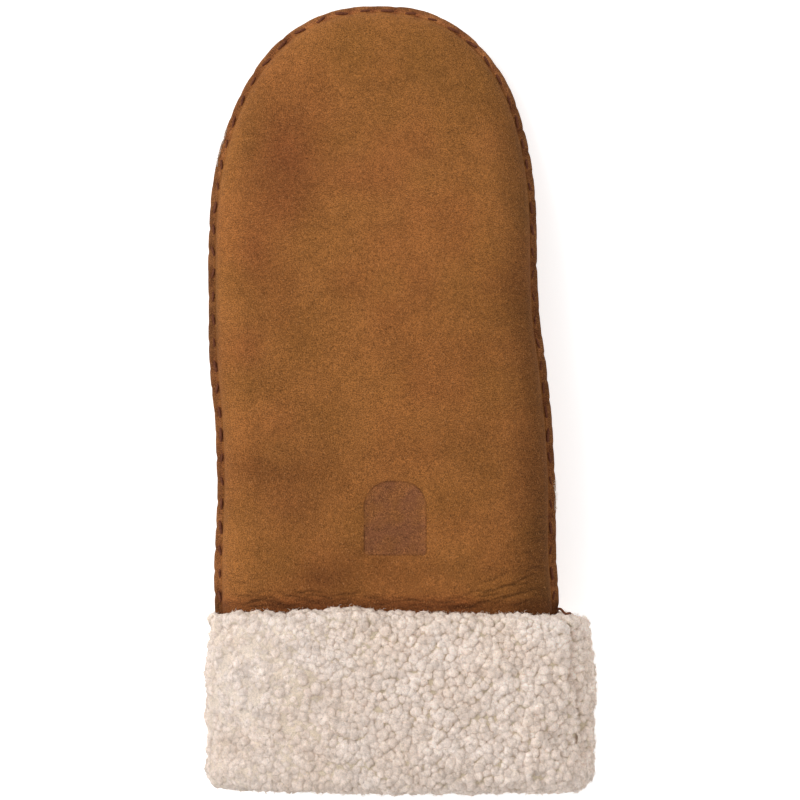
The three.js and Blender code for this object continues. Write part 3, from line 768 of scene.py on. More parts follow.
def drawn_along(tree, curve, section, ends):
    """A solid drawn along a curve from its section, its ends closed or tapered as the inputs ends say."""
    inputs = {"Curve": curve, "Profile Curve": section}
    inputs.update(ends)
    return add_node(tree, "GeometryNodeCurveToMesh", inputs).outputs[0]


def repeated(tree, points, shape, rotation, scale):
    """A shape set on each of the points."""
    inputs = {"Points": points, "Instance": shape, "Rotation": rotation, "Scale": scale}
    return add_node(tree, "GeometryNodeInstanceOnPoints", inputs).outputs[0]


def stitch_tree(material):
    """Dashes of thread at even steps along a path."""
    sizes = {"Pitch": 1.0, "Length": 1.0, "Thickness": 1.0, "Rise": 1.0, "Wobble": 1.0, "Seed": 1}
    tree, size = geometry_tree("stitches", sizes)

    def point(along, high):
        """A point of the dash's arch, given as shares of its length and its rise."""
        x, z = product(tree, size["Length"], along * MM), product(tree, size["Rise"], high * MM)
        return add_node(tree, "ShaderNodeCombineXYZ", {"X": x, "Z": z}).outputs[0]

    arch = {
        "Resolution": 8,
        "Start": point(-0.5, -0.5),
        "Start Handle": point(-0.4, 0.5),
        "End Handle": point(0.4, 0.5),
        "End": point(0.5, -0.5),
    }
    bend = add_node(tree, "GeometryNodeCurvePrimitiveBezierSegment", arch, mode="POSITION").outputs[0]
    dash = drawn_along(tree, bend, round_section(tree, size["Thickness"], 6), {"Fill Caps": True})
    steps = steps_along(tree, path_curve(tree, size), size["Pitch"])
    tangent = add_node(tree, "GeometryNodeInputTangent").outputs[0]
    along = add_node(tree, "FunctionNodeAlignRotationToVector", {"Vector": tangent}, axis="X")
    up = {"Rotation": along.outputs[0], "Vector": (0, 0, 1)}
    upright = add_node(tree, "FunctionNodeAlignRotationToVector", up, axis="Z", pivot_axis="X")
    vary = random_about_one(tree, size["Wobble"], size["Seed"])
    askew = random_turn(tree, upright.outputs[0], (-0.3, -0.1, -0.3), (0.3, 0.1, 0.3), size["Seed"])
    finish_tree(tree, repeated(tree, steps, dash, askew, vary), material)
    return tree


def seam_path(side, offset):
    """The line of the stitches on one lip, from cuff to cuff round the tip, starting offset along it."""
    ribs = seam_ribs(CUFF_HEIGHT - 1)
    on = ribs["seam"] + ribs["outward"] * (SEAM_LIP * STITCH_LINE)
    high = GAP / 2 + STITCH_LEVEL * HIDE + STITCH_CLEAR
    line = np.stack([on[:, 0], on[:, 1], seam_z(on[:, 1]) + side * high], 1)
    return line[ribs["run"] >= offset]


def sewn(name, points, tree, rise, seed):
    """Stitches along a line of points, bulging up or down with the sign of rise."""
    path = path_piece("stitch_path", points)
    sizes = {"Pitch": STITCH_PITCH, "Length": DASH["length"], "Thickness": DASH["thickness"], "Rise": rise}
    sizes.update({"Wobble": DASH["wobble"], "Seed": seed})
    stitches = grown(name, path, tree, sizes)
    bpy.data.objects.remove(path)
    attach(stitches, "root")


thread = thread_material()
stitching = stitch_tree(thread)
sewn("back_stitches", seam_path(1, 0), stitching, DASH["rise"], 4)
sewn("palm_stitches", seam_path(-1, STITCH_PITCH / 2), stitching, -DASH["rise"], 9)

# Thumb. One folded piece is sewn into an opening in the palm, bends out of it and lies along the palm,
# flattened by the table. Its seam stands outside as a low welt with the same stitches.
THUMB_TILT = math.radians(12)
THUMB_HOLE = {"wide": 0.6 * SEAM_HALF_WIDTH, "high": 46}
THUMB = {"wide": 0.75 * SEAM_HALF_WIDTH, "high": 15.5, "reach": 56, "tip": 26, "bend": 1}
THUMB_ALONG = np.array([-math.sin(THUMB_TILT), math.cos(THUMB_TILT)])
THUMB_ACROSS = np.array([THUMB_ALONG[1], -THUMB_ALONG[0]])
CROTCH = np.array([0.5 * SEAM_HALF_WIDTH, 128])
THUMB_AROUND = 128
THUMB_LOOPS = {"bend": 26, "level": 16, "tip": 24}
WELT_START = 0.16
WELT_STITCHES = {"out": 0.9, "below": 2.0, "ends": 6}
# The welt in section: how far out it stands and how far below the palm, in millimetres.
WELT_ROWS = [
    {"out": -0.6, "down": 0.3},
    {"out": 1.9, "down": 0.3},
    {"out": 2.5, "down": 0.9},
    {"out": 2.4, "down": 1.7},
    {"out": 1.7, "down": 2.2},
    {"out": 0.9, "down": 1.9},
    {"out": 0.2, "down": 2.2},
    {"out": -0.6, "down": 1.9},
]


def palm_under(x, y):
    """The height of the palm's suede face."""
    share = np.clip(np.abs(x - outline("shift", y)) / outline("half", y), 0, 1)
    start = GAP / 2 + HIDE
    bulge = (1 - share**WALL_ROUNDNESS) ** (1 / WALL_ROUNDNESS)
    return np.maximum(seam_z(y) - start - (rise_of(-1, y) - palm_relief(x, y) - start) * bulge, 0)


def thumb_loop(bend, reach, angle, depth):
    """Points round the thumb. bend runs from 0 in the opening's plane to 1 where the thumb lies level."""
    tip = max(reach - THUMB["reach"] + THUMB["tip"], 0) / THUMB["tip"]
    taper = math.sqrt(max(1 - tip * tip, 0))
    ease = smooth_step(bend, 0, 1)
    high = THUMB_HOLE["high"] * (1 - ease) + THUMB["high"] * ease
    wide = THUMB_HOLE["wide"] * (1 - ease) + THUMB["wide"] * ease
    swell = 0.3 * soft_noise(16 * np.cos(angle) + 0.8 * reach + 9 * bend, 16 * np.sin(angle), 7, 41) * taper
    tall = max(high / 2 * taper - depth * min(2 * taper, 1), 0) - swell
    broad = max(wide / 2 * taper - depth * min(2 * taper, 1), 0) - swell
    radius = THUMB["bend"] + high / 2 - tall * rounded(np.cos(angle), WALL_ROUNDNESS)
    along = reach - depth * tip - radius * math.cos(math.pi / 2 * bend)
    across = broad * rounded(np.sin(angle), WALL_ROUNDNESS)
    x = CROTCH[0] + THUMB_ALONG[0] * along + THUMB_ACROSS[0] * across
    y = CROTCH[1] + THUMB_ALONG[1] * along + THUMB_ACROSS[1] * across
    below = palm_under(x, y)
    z = below + HIDE * (1 - ease) - radius * math.sin(math.pi / 2 * bend)
    return np.stack([x, y, np.maximum(np.minimum(z, below - GAP), depth)], 1)


def thumb_sheet(depth):
    """Points of the thumb's wall, loop by loop: round its bend, along its level part and over its tip."""
    angle = np.linspace(0, 2 * math.pi, THUMB_AROUND + 1)
    loops = [thumb_loop(bend, 0, angle, depth) for bend in np.linspace(0, 1, THUMB_LOOPS["bend"])]
    straight = THUMB["reach"] - THUMB["tip"]
    level = np.linspace(0, straight, THUMB_LOOPS["level"])[1:]
    closing = straight + THUMB["tip"] * np.sin(np.linspace(0, math.pi / 2, THUMB_LOOPS["tip"])[1:])
    loops += [thumb_loop(1, reach, angle, depth) for reach in np.concatenate([level, closing])]
    return np.stack(loops, 1)


def thumb_seam():
    """Where the thumb leaves the palm, from one side round the heel to the other, and the way out there."""
    sheet = thumb_sheet(0)
    clear = sheet[:, :, 2] < palm_under(sheet[:, :, 0], sheet[:, :, 1]) - 1.4
    first = np.argmax(clear, 1)
    line = sheet[np.arange(len(sheet)), first]
    inside = CROTCH - THUMB_ALONG * (THUMB["bend"] + THUMB_HOLE["high"] / 2)
    part = slice(round(THUMB_AROUND * WELT_START), round(THUMB_AROUND * (1 - WELT_START)) + 1)
    step = np.gradient(line[part, :2], axis=0)
    out = np.stack([step[:, 1], -step[:, 0]], 1) / np.linalg.norm(step, axis=1)[:, None]
    facing = np.sum(out * (line[part, :2] - inside), 1)
    return line[part], out * np.sign(facing)[:, None]


def thumb_welt(name):
    """The welt as one closed roll, thinner at its two ends."""
    line, out = thumb_seam()
    number = np.arange(len(line))
    grow = smooth_step(number, -1, 7) * smooth_step(len(line) - 1 - number, -1, 7)
    full = 0.3 + 0.7 * grow
    columns = []
    for row in WELT_ROWS + WELT_ROWS[:1]:
        place = line[:, :2] + out * (row["out"] * full)[:, None]
        z = palm_under(place[:, 0], place[:, 1]) - GAP - (row["down"] - GAP) * full
        columns.append(np.stack([place[:, 0], place[:, 1], z], 1))
    sheet = np.stack(columns, 1)
    rows, count = sheet.shape[:2]
    faces = sheet_faces(rows, count).tolist()
    faces += [list(range(count - 1))[::-1], list(range((rows - 1) * count, rows * count - 1))]
    # The welt takes the lip's paler colour, the same painted light.
    return placed_mesh(name, sheet, faces, {"lip": np.full((rows, count), 0.5)})


def opened(piece, outline_points, low, high):
    """Cuts an upright opening through a piece."""
    count = len(outline_points)
    base = np.concatenate([outline_points, np.full((count, 1), low)], 1)
    top = np.concatenate([outline_points, np.full((count, 1), high)], 1)
    faces = [[i, (i + 1) % count, count + (i + 1) % count, count + i] for i in range(count)]
    faces += [list(range(count))[::-1], list(range(count, 2 * count))]
    cutter = placed_mesh("cutter", np.concatenate([base, top]), faces)
    cut = piece.modifiers.new("opening", "BOOLEAN")
    cut.object = cutter
    cut.solver = "EXACT"
    evaluated = piece.evaluated_get(bpy.context.evaluated_depsgraph_get())
    mesh = bpy.data.meshes.new_from_object(evaluated)
    piece.modifiers.remove(cut)
    piece.data = mesh
    bpy.data.objects.remove(cutter)


thumb_hole = thumb_loop(0, 0, np.linspace(0, 2 * math.pi, 97)[:-1], HIDE)[:, :2]
hole_top = seam_z(CROTCH[1] - THUMB_HOLE["high"] / 2)
opened(palm_hide, thumb_hole, -1, hole_top)
thumb_points, thumb_faces = closed_wall(thumb_sheet(0), thumb_sheet(HIDE), ("first column",))
thumb_hide = placed_mesh("thumb_hide", thumb_points, thumb_faces)
thumb_hide.data.materials.append(plain_suede)
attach(thumb_hide, "root")
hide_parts("thumb")
welt = thumb_welt("thumb_welt")
welt.data.materials.append(plain_suede)
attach(welt, "root")
welt_line, welt_out = thumb_seam()
between_ends = slice(WELT_STITCHES["ends"], -WELT_STITCHES["ends"])
sewn_at = welt_line[between_ends, :2] + WELT_STITCHES["out"] * welt_out[between_ends]
sewn_z = palm_under(sewn_at[:, 0], sewn_at[:, 1]) - WELT_STITCHES["below"]
sewn("thumb_stitches", np.concatenate([sewn_at, sewn_z[:, None]], 1), stitching, -DASH["rise"], 6)

# Cuff wool. The skin is turned back at the mouth, so its wool shows all round in tight curls about 4 mm
# across on a dense pile. It is flat where the mitten rests, ragged at the cut edge, and goes on inside.
LINING_PILE = 5
CUFF_PILE = 8.5
CUFF_PILE_LEFT = 7.8
CUFF_PILE_RIGHT = 12.2
FOLD_PILE = 7
FOLD_ROUNDNESS = 2.7
CUFF_CLEARANCE = 0.6
CUFF_OVERHANG = 3.5
LINING_OVERLAP = 16
NUB = {"across": 4.1, "apart": 2.05, "sunk": 0.4, "vary": 0.24}
NUB_RISE = 1.5
NUB_RUFFLE = 1.9
FIBRE = {"length": 1.25, "thick": 0.15, "vary": 0.45}
# The back's wool and the palm's are two pieces, parted at a height, with fibres apart by as much on each.
WOOL_ROWS = [
    {"side": "back", "from": SEAM_HEIGHT, "to": 99, "apart": 0.88},
    {"side": "palm", "from": -9, "to": SEAM_HEIGHT, "apart": 1.2},
]
# The side seam of the turned-back skin shows as a valley in the wool: the angle of its middle at each height.
VALLEY_ROWS = [
    {"at": 0, "angle": 19},
    {"at": 26, "angle": 22},
    {"at": 34, "angle": 27},
    {"at": 54, "angle": 25},
]
# The cut edge of the wool: how far it stands past CUFF_HEIGHT, going round from the thumb side over the back.
EDGE_ROWS = [
    {"at": 0.0, "high": 0.4},
    {"at": 0.085, "high": 0.5},
    {"at": 0.17, "high": 1.5},
    {"at": 0.22, "high": 1.4},
    {"at": 0.28, "high": 3.4},
    {"at": 0.31, "high": 3.1},
    {"at": 0.335, "high": 2.2},
    {"at": 0.37, "high": 2.6},
    {"at": 0.42, "high": 2.1},
    {"at": 0.5, "high": 1.2},
    {"at": 0.6, "high": 0.3},
    {"at": 0.7, "high": 1.5},
    {"at": 0.8, "high": 0.4},
    {"at": 0.9, "high": 1.1},
    {"at": 1.0, "high": 0.4},
]
CUFF_AROUND = 300
# The loops in each stretch of the backing's section, from the side that lies on the skin to inside the mouth.
RING_LOOPS = {"under": 7, "edge": 5, "outside": 34, "fold": 18, "inside": 8}
EDGE_ROLL = 2.2
EDGE_NARROWED_LEFT = 1.2
EDGE_NARROWED_RIGHT = 2.4


def body_loop(angle, y, outset):
    out, up = rounded(np.cos(angle), WALL_ROUNDNESS), rounded(np.sin(angle), WALL_ROUNDNESS)
    rise = np.where(up > 0, rise_of(1, y), rise_of(-1, y))
    x = outline("shift", y) + (outline("half", y) + outset) * out
    return np.stack([x, y + 0 * x, seam_z(y) + (rise + outset) * up], -1)


def cuff_loop(angle, y, outset):
    out, up = rounded(np.cos(angle), WALL_ROUNDNESS), rounded(np.sin(angle), WALL_ROUNDNESS)
    rise = np.where(up > 0, rise_of(1, y), rise_of(-1, y))
    x = outline("shift", y) + (outline("half", y) + LIP_UNDER_CUFF + CUFF_CLEARANCE + outset) * out
    return np.stack([x, y + 0 * x, seam_z(y) + (rise + GAP + outset) * up], -1)


def wool_loop(angle, y, outset):
    place = cuff_loop(angle, 0 * np.asarray(y), outset)
    place[..., 1] = y
    return place


def fold_point(angle, share, body_outset, cuff_outset, depth):
    """A point round the fold, from the body's wall at share 0 to the cuff's at share 1."""
    y = FOLD_CENTRE - (FOLD_CENTRE + depth) * rounded(np.sin(math.pi * share), FOLD_ROUNDNESS)
    blend = ((1 - rounded(np.cos(math.pi * share), FOLD_ROUNDNESS)) / 2)[..., None]
    return body_loop(angle, y, body_outset) * (1 - blend) + cuff_loop(angle, y, cuff_outset) * blend


def even_angles(count):
    fine = np.linspace(0, 2 * math.pi, 20 * count + 1)
    loop = cuff_loop(fine, 0 * fine, 0)
    length = np.concatenate([[0], np.cumsum(np.linalg.norm(np.diff(loop, axis=0), axis=1))])
    return np.interp(np.linspace(0, length[-1], count, endpoint=False), length, fine)


def wool_lumps(angle, along):
    """The slow swell of the pile round the cuff, in millimetres."""
    x, y = 55 * np.cos(angle) + along, 55 * np.sin(angle)
    return 1.0 * soft_noise(x, y, 15, 31) + 0.75 * soft_noise(x + 0.6 * along, y + 0.8 * along, 6, 33)


def wool_valley(angle, along):
    """How deep the side seam's valley is, in millimetres."""
    middle = np.radians(curve_at(VALLEY_ROWS, "angle", along))
    return 3.2 * np.exp(-(((angle - middle) / 0.055) ** 2)) * smooth_step(along, 2, 14)


def cuff_wool_ring():
    """The pile's backing, a U in section all round. pile is 1 where its curls can be seen; curl runs from 0.5
    on the left to 1 on the right, sinks the curls on the left and sets the backing's painted shade.
    """
    around = even_angles(CUFF_AROUND)
    face = HIDE + GAP
    across = np.cos(around)
    side_pile = np.where(across < 0, CUFF_PILE_LEFT, CUFF_PILE_RIGHT)
    pile = CUFF_PILE + (side_pile - CUFF_PILE) * across**2 - NUB_RISE
    narrow = np.where(across < 0, EDGE_NARROWED_LEFT, EDGE_NARROWED_RIGHT) * across**8
    top = CUFF_HEIGHT + curve_at(EDGE_ROWS, "high", around / (2 * math.pi)) - 1.0
    over_lip = 2 * GAP + (SEAM_LIP - LIP_UNDER_CUFF - 2 * GAP) * across**8
    skin_top = CUFF_HEIGHT - CUFF_OVERHANG + GAP
    columns, shades = [], []

    def add(points, shade):
        columns.append(points)
        shades.append(np.full(len(around), float(shade)))

    inside_face = -face - 2 * GAP
    for share in np.linspace(0, 1, RING_LOOPS["under"]):
        add(fold_point(around, share + 0 * around, inside_face, face, GAP), 0)
    add(cuff_loop(around, skin_top + 0 * around, face), 0)
    add(cuff_loop(around, skin_top + 0 * around, GAP), 0)
    add(cuff_loop(around, top - 0.4, over_lip), 0)
    inner = cuff_loop(around, top, over_lip + 0.5)
    add(inner, 1)
    outer = wool_loop(around, top - EDGE_ROLL, pile + face + wool_lumps(around, top) - narrow)
    for turn in np.linspace(0, math.pi / 2, RING_LOOPS["edge"])[1:]:
        place = inner + (outer - inner) * math.sin(turn)
        place[:, 1] = top + (1 - math.cos(turn)) * -EDGE_ROLL
        add(place, 1)
    for share in np.linspace(1, 0, RING_LOOPS["outside"])[1:]:
        y = FOLD_CENTRE + (top - EDGE_ROLL - FOLD_CENTRE) * share
        drawn_in = narrow * smooth_step(y, 26, 54)
        add(wool_loop(around, y, pile + face + wool_lumps(around, y) - drawn_in - wool_valley(around, y)), 1)
    inside = -face - LINING_PILE + NUB_RISE
    for share in np.linspace(1, 0, RING_LOOPS["fold"])[1:]:
        lump = wool_lumps(around, 0 * around) * share
        add(fold_point(around, share + 0 * around, inside, pile + face + lump, FOLD_PILE - NUB_RISE - 1), 1)
    for share in np.linspace(0, 1, RING_LOOPS["inside"])[1:]:
        y = FOLD_CENTRE + (LINING_OVERLAP - FOLD_CENTRE) * share
        add(body_loop(around, y + 0 * around, inside), 1)
    add(body_loop(around, LINING_OVERLAP + 0 * around, inside_face), 0)
    ring = np.stack(columns, 1)
    marked = 0.5 + 0.5 * smooth_step(ring[:, :, 0], -52, 6)
    ring[:, :, 2] = np.maximum(ring[:, :, 2], 0.25)
    rows, count = ring.shape[:2]
    corner = np.arange(rows)[:, None] * count + np.arange(count)[None, :]
    beside, above = np.roll(corner, -1, 1), np.roll(corner, -1, 0)
    both = np.roll(above, -1, 1)
    faces = np.stack([corner, beside, both, above], 2).reshape(-1, 4)
    return placed_mesh("cuff_wool_pile", ring, faces, {"pile": np.stack(shades, 1), "curl": marked})


def wool_material(name, shade, low, high, dark):
    """Cream wool in fine kinks, with a faint painted glow. A shade, if it is named, runs from dark at low to
    full light at high.
    """
    material, tree, shader = new_material(name)
    where = add_node(tree, "ShaderNodeTexCoord").outputs["Object"]
    cloud = noise(tree, where, 18, 3)
    kink = noise(tree, where, 0.3, 1, 0.6, 1.2)
    fluff = noise(tree, where, 1.2, 2, 0.6, 0.8)
    base = mixed(tree, shaded(tree, cloud, 0.35, 0.65), colour(249, 228, 213), colour(254, 237, 226))
    clump = noise(tree, where, 4.5, 2)
    base = toned(tree, base, clump, 0.3, 0.7, 0.76, 1.1)
    side = add_node(tree, "ShaderNodeSeparateXYZ", {0: where})
    # Painted shade on the left and painted light on the right, evening out the key light from the left.
    base = toned(tree, base, side.outputs["X"], -0.066, 0.066, 0.9, 1.05)
    # Darker at the mouth's end of the wool, lower in Y, and a little lighter further from it.
    base = toned(tree, base, side.outputs["Y"], -0.134, -0.12, 0.86, 1.0)
    base = toned(tree, base, side.outputs["Y"], -0.1, -0.08, 1.0, 1.06)
    # With tip or curl this is painted shade, at the curls' feet and on the backing between them; with tone it
    # is each fibre's own tone.
    if shade:
        depth = shaded(tree, read_shade(tree, shade), low, high)
        base = mixed(tree, depth, colour(228, 211, 182), base)
        base = toned(tree, base, depth, 0, 1, dark, 1.0)
    base = toned(tree, base, fluff, 0.3, 0.7, 0.82, 1.1)
    base = toned(tree, base, kink, 0.3, 0.7, 0.7, 1.16)
    kinked = bumped(tree, kink, 1.0, 0.4 * MM, bumped(tree, fluff, 1.0, 0.6 * MM))
    values = {
        "Roughness": 1.0,
        "Specular IOR Level": 0.1,
        "Sheen Weight": 0.3,
        "Sheen Roughness": 0.6,
        "Sheen Tint": colour(255, 238, 222),
        # A faint painted glow, lightening the wool and its shade between the curls.
        "Emission Color": colour(255, 230, 210),
        "Emission Strength": 0.08,
        "Subsurface Weight": 0.25,
        "Subsurface Radius": (1.0, 0.8, 0.65),
        "Subsurface Scale": MM,
    }
    finish_shader(tree, shader, base, kinked, values)
    return material


def scattered(tree, size, chosen, seed_offset=0):
    """Points at least Apart from each other over the chosen share of the base's surface."""
    inputs = {
        "Mesh": size["Geometry"],
        "Distance Min": product(tree, size["Apart"], MM),
        "Density Max": 900000.0,
        "Density Factor": chosen,
        "Seed": worked_out(tree, "ADD", size["Seed"], float(seed_offset)),
    }
    kind = "GeometryNodeDistributePointsOnFaces"
    return add_node(tree, kind, inputs, distribute_method="POISSON").outputs


def position(tree):
    return add_node(tree, "GeometryNodeInputPosition").outputs[0]


def height_of(tree, place):
    return add_node(tree, "ShaderNodeSeparateXYZ", {0: place}).outputs["Z"]


def made_real(tree, geometry):
    return add_node(tree, "GeometryNodeRealizeInstances", {"Geometry": geometry}).outputs[0]


def off_the_table(tree, geometry):
    """Presses whatever would go below the table flat against it."""
    solid = made_real(tree, geometry)
    limits = {0: position(tree), 1: (-9, -9, 0.2 * MM)}
    lowest = add_node(tree, "ShaderNodeVectorMath", limits, operation="MAXIMUM").outputs[0]
    return add_node(tree, "GeometryNodeSetPosition", {"Geometry": solid, "Position": lowest}).outputs[0]


def uneven_surface(tree, geometry, scale, detail, reach):
    """Shifts a surface this way and that by a noise, by half the reach at most."""
    inputs = {"Vector": position(tree), "Scale": scale, "Detail": detail}
    bent = add_node(tree, "ShaderNodeTexNoise", inputs).outputs["Color"]
    halves = {0: bent, 1: (0.5, 0.5, 0.5)}
    off = add_node(tree, "ShaderNodeVectorMath", halves, operation="SUBTRACT").outputs[0]
    moved = {"Geometry": geometry, "Offset": scaled_by(tree, off, reach)}
    return add_node(tree, "GeometryNodeSetPosition", moved).outputs[0]


def between(tree, value, low, high):
    above = worked_out(tree, "GREATER_THAN", value, low)
    below = worked_out(tree, "LESS_THAN", value, high)
    return product(tree, above, below)


def read_input(tree, name, kind="FLOAT"):
    """An attribute that the base mesh carries."""
    return add_node(tree, "GeometryNodeInputNamedAttribute", {"Name": name}, data_type=kind).outputs[0]


def stored(tree, geometry, name, value, kind="FLOAT", domain="POINT"):
    inputs = {"Geometry": geometry, "Name": name, "Value": value}
    return add_node(tree, "GeometryNodeStoreNamedAttribute", inputs, data_type=kind, domain=domain).outputs[0]


def nub(tree):
    """One curl: a lumpy dome 1 across, marked from its foot to its tip for the painted shade at its foot."""
    ball = add_node(tree, "GeometryNodeMeshIcoSphere", {"Radius": 0.5, "Subdivisions": 2}).outputs[0]
    foot = {"Geometry": ball, "Selection": between(tree, height_of(tree, position(tree)), -1.0, -0.2)}
    dome = add_node(tree, "GeometryNodeDeleteGeometry", foot, domain="POINT").outputs[0]
    lumpy = uneven_surface(tree, dome, 2.2, 1.0, 0.35)
    return stored(tree, lumpy, "tip", shaded(tree, height_of(tree, position(tree)), -0.1, 0.45))


def curl_tree(material, low, high):
    """Small lumpy curls scattered close together over the part of a pile between two heights, in metres."""
    sizes = {"Across": 1.0, "Apart": 1.0, "Sunk": 1.0, "Vary": 1.0, "Seed": 1}
    tree, size = geometry_tree("curls", sizes)
    spots = scattered(tree, size, read_input(tree, "pile"))
    in_part = between(tree, height_of(tree, position(tree)), low, high)
    chosen = {"Geometry": spots["Points"], "Selection": in_part}
    on_part = add_node(tree, "GeometryNodeSeparateGeometry", chosen, domain="POINT").outputs["Selection"]
    vary = random_about_one(tree, size["Vary"], size["Seed"])
    across = product(tree, product(tree, vary, size["Across"]), MM)
    flattened = shaded(tree, read_input(tree, "curl"), 0, 1, -1.7 * MM, 0)
    stray = product(tree, random_between(tree, 0.0, 1.0, 77), -0.6 * MM)
    deeper = worked_out(tree, "ADD", flattened, stray)
    down = worked_out(tree, "MULTIPLY_ADD", size["Sunk"], -MM, deeper)
    aimed = stored(tree, on_part, "outwards", spots["Normal"], "FLOAT_VECTOR")
    moved = {"Geometry": aimed, "Offset": scaled_by(tree, spots["Normal"], down)}
    settled = add_node(tree, "GeometryNodeSetPosition", moved).outputs[0]
    spin = random_turn(tree, spots["Rotation"], (-0.35, -0.35, 0.0), (0.35, 0.35, 6.28), size["Seed"])
    curls = made_real(tree, repeated(tree, settled, nub(tree), spin, across))
    ruffled = uneven_surface(tree, curls, 480.0, 2.0, NUB_RUFFLE * MM)
    finish_tree(tree, off_the_table(tree, ruffled), material)
    return tree


def kinked_fibre(tree, size):
    """One bent fibre that leans along X as it rises."""
    length = product(tree, size["Length"], MM)

    def point(along, high):
        x, z = product(tree, length, along), product(tree, length, high)
        return add_node(tree, "ShaderNodeCombineXYZ", {"X": x, "Z": z}).outputs[0]

    arc = {"Resolution": 2, "Start": (0, 0, 0), "Middle": point(0.15, 0.6), "End": point(0.75, 0.35)}
    curve = add_node(tree, "GeometryNodeCurveQuadraticBezier", arc).outputs[0]
    share = add_node(tree, "GeometryNodeSplineParameter").outputs["Factor"]
    taper = shaded(tree, share, 0, 1, 1.0, 0.35)
    return drawn_along(tree, curve, round_section(tree, size["Thickness"], 3), {"Scale": taper})


def toned_apart(tree, fibres):
    """Gives every fibre a tone of its own."""
    return stored(tree, fibres, "tone", random_between(tree, 0.0, 1.0, 19), domain="INSTANCE")


def fibre_tree(material):
    """Kinked fibres that stand off the curls and catch the light at their edges."""
    sizes = {"Length": 1.0, "Thickness": 1.0, "Apart": 1.0, "Vary": 1.0, "Seed": 1}
    tree, size = geometry_tree("fibres", sizes)
    normal = add_node(tree, "GeometryNodeInputNormal").outputs[0]
    both = {0: normal, 1: read_input(tree, "outwards", "FLOAT_VECTOR")}
    facing = add_node(tree, "ShaderNodeVectorMath", both, operation="DOT_PRODUCT").outputs["Value"]
    spots = scattered(tree, size, shaded(tree, facing, 0.1, 0.6), 5)
    vary = random_about_one(tree, size["Vary"], size["Seed"])
    spin = random_turn(tree, spots["Rotation"], (-0.6, -0.6, 0.0), (0.6, 0.6, 6.28), size["Seed"])
    fibres = repeated(tree, spots["Points"], kinked_fibre(tree, size), spin, vary)
    finish_tree(tree, off_the_table(tree, toned_apart(tree, fibres)), material)
    return tree


def nub_sizes(apart, seed):
    return {"Across": NUB["across"], "Apart": apart, "Sunk": NUB["sunk"], "Vary": NUB["vary"], "Seed": seed}


# The curls are painted in shade towards their feet and the backing in shade where the curls stand full; the
# fibres only vary in tone.
curl_wool = wool_material("curl_wool", "tip", 0.0, 0.7, 0.84)
pile_wool = wool_material("pile_wool", "curl", 1.0, 0.3, 0.86)
fibre_wool = wool_material("fibre_wool", "tone", 0.0, 1.0, 0.74)
cuff_pile = cuff_wool_ring()
cuff_pile.data.materials.append(pile_wool)
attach(cuff_pile, "root")
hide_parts("cuff_wool")
fuzz = fibre_tree(fibre_wool)
for row in WOOL_ROWS:
    maker = curl_tree(curl_wool, row["from"] / 1000, row["to"] / 1000)
    curls = grown("cuff_curls_" + row["side"], cuff_pile, maker, nub_sizes(NUB["apart"], 3))
    sizes = {"Length": FIBRE["length"], "Thickness": FIBRE["thick"], "Vary": FIBRE["vary"]}
    sizes.update({"Apart": row["apart"], "Seed": 8})
    fibres = grown("cuff_fibres_" + row["side"], curls, fuzz, sizes)
    for piece in (curls, fibres):
        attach(piece, "root")

# Wool lining. The hide's own wool lines the hand from just inside the mouth to the tip, in one bag that is
# open where the thumb leaves it. Its curls are only made near the mouth, where they can be seen.
LINING_SEEN = 66
LINING_RIB_STEP = 3
LINING_TURNS = 23
LINING_APART = 1.15 * NUB["apart"]


def lining_sheet(ribs, turn, depth):
    """Both halves of a layer, rib by rib, from the back's middle over the seam to the palm's middle."""
    halves = [wall_points(ribs, turn, side, depth, 0) for side in (1, -1)]
    return np.concatenate([halves[0], halves[1][:, -2::-1]], 1)


def lining_bag(name):
    """The lining's pile, a little uneven inside, and marked where its curls are made."""
    ribs = thinned(seam_ribs(LINING_OVERLAP + GAP), LINING_RIB_STEP)
    turn = np.linspace(math.pi / 2, 0, LINING_TURNS)
    outer = lining_sheet(ribs, turn, HIDE + GAP)
    inner = lining_sheet(ribs, turn, HIDE + GAP + LINING_PILE - NUB_RISE)
    x, y = inner[:, :, 0], inner[:, :, 1]
    inner[:, :, 2] += 0.5 * soft_noise(x, y, 9, 51) * smooth_step(y, 18, 24)
    points, faces = closed_wall(outer, inner, ("first row", "last row"))
    seen = np.concatenate([0 * outer[:, :, 0], (inner[:, :, 1] < LINING_SEEN).astype(float)])
    # curl at 0.8 gives the lining's backing the same painted shade.
    return placed_mesh(name, points, faces, {"pile": seen, "curl": 0 * seen + 0.8})


lining = lining_bag("lining_wool")
lining.data.materials.append(pile_wool)
opened(lining, thumb_hole, -1, hole_top)
lining_curls = grown("lining_curls", lining, curl_tree(curl_wool, -1.0, 1.0), nub_sizes(LINING_APART, 5))
for piece in (lining, lining_curls):
    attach(piece, "root")
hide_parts("wool_lining")

# Seam wisps. Where the lips gape a little, short wisps of the wool inside stick out between them.
WISP_ROWS = [
    {"side": -1, "from": 207, "to": 220.5},
    {"side": 1, "from": 90, "to": 100.5},
]
WISP = {"length": 1.5, "thick": 0.14, "apart": 0.11, "out": 0.82, "high": 0.8}


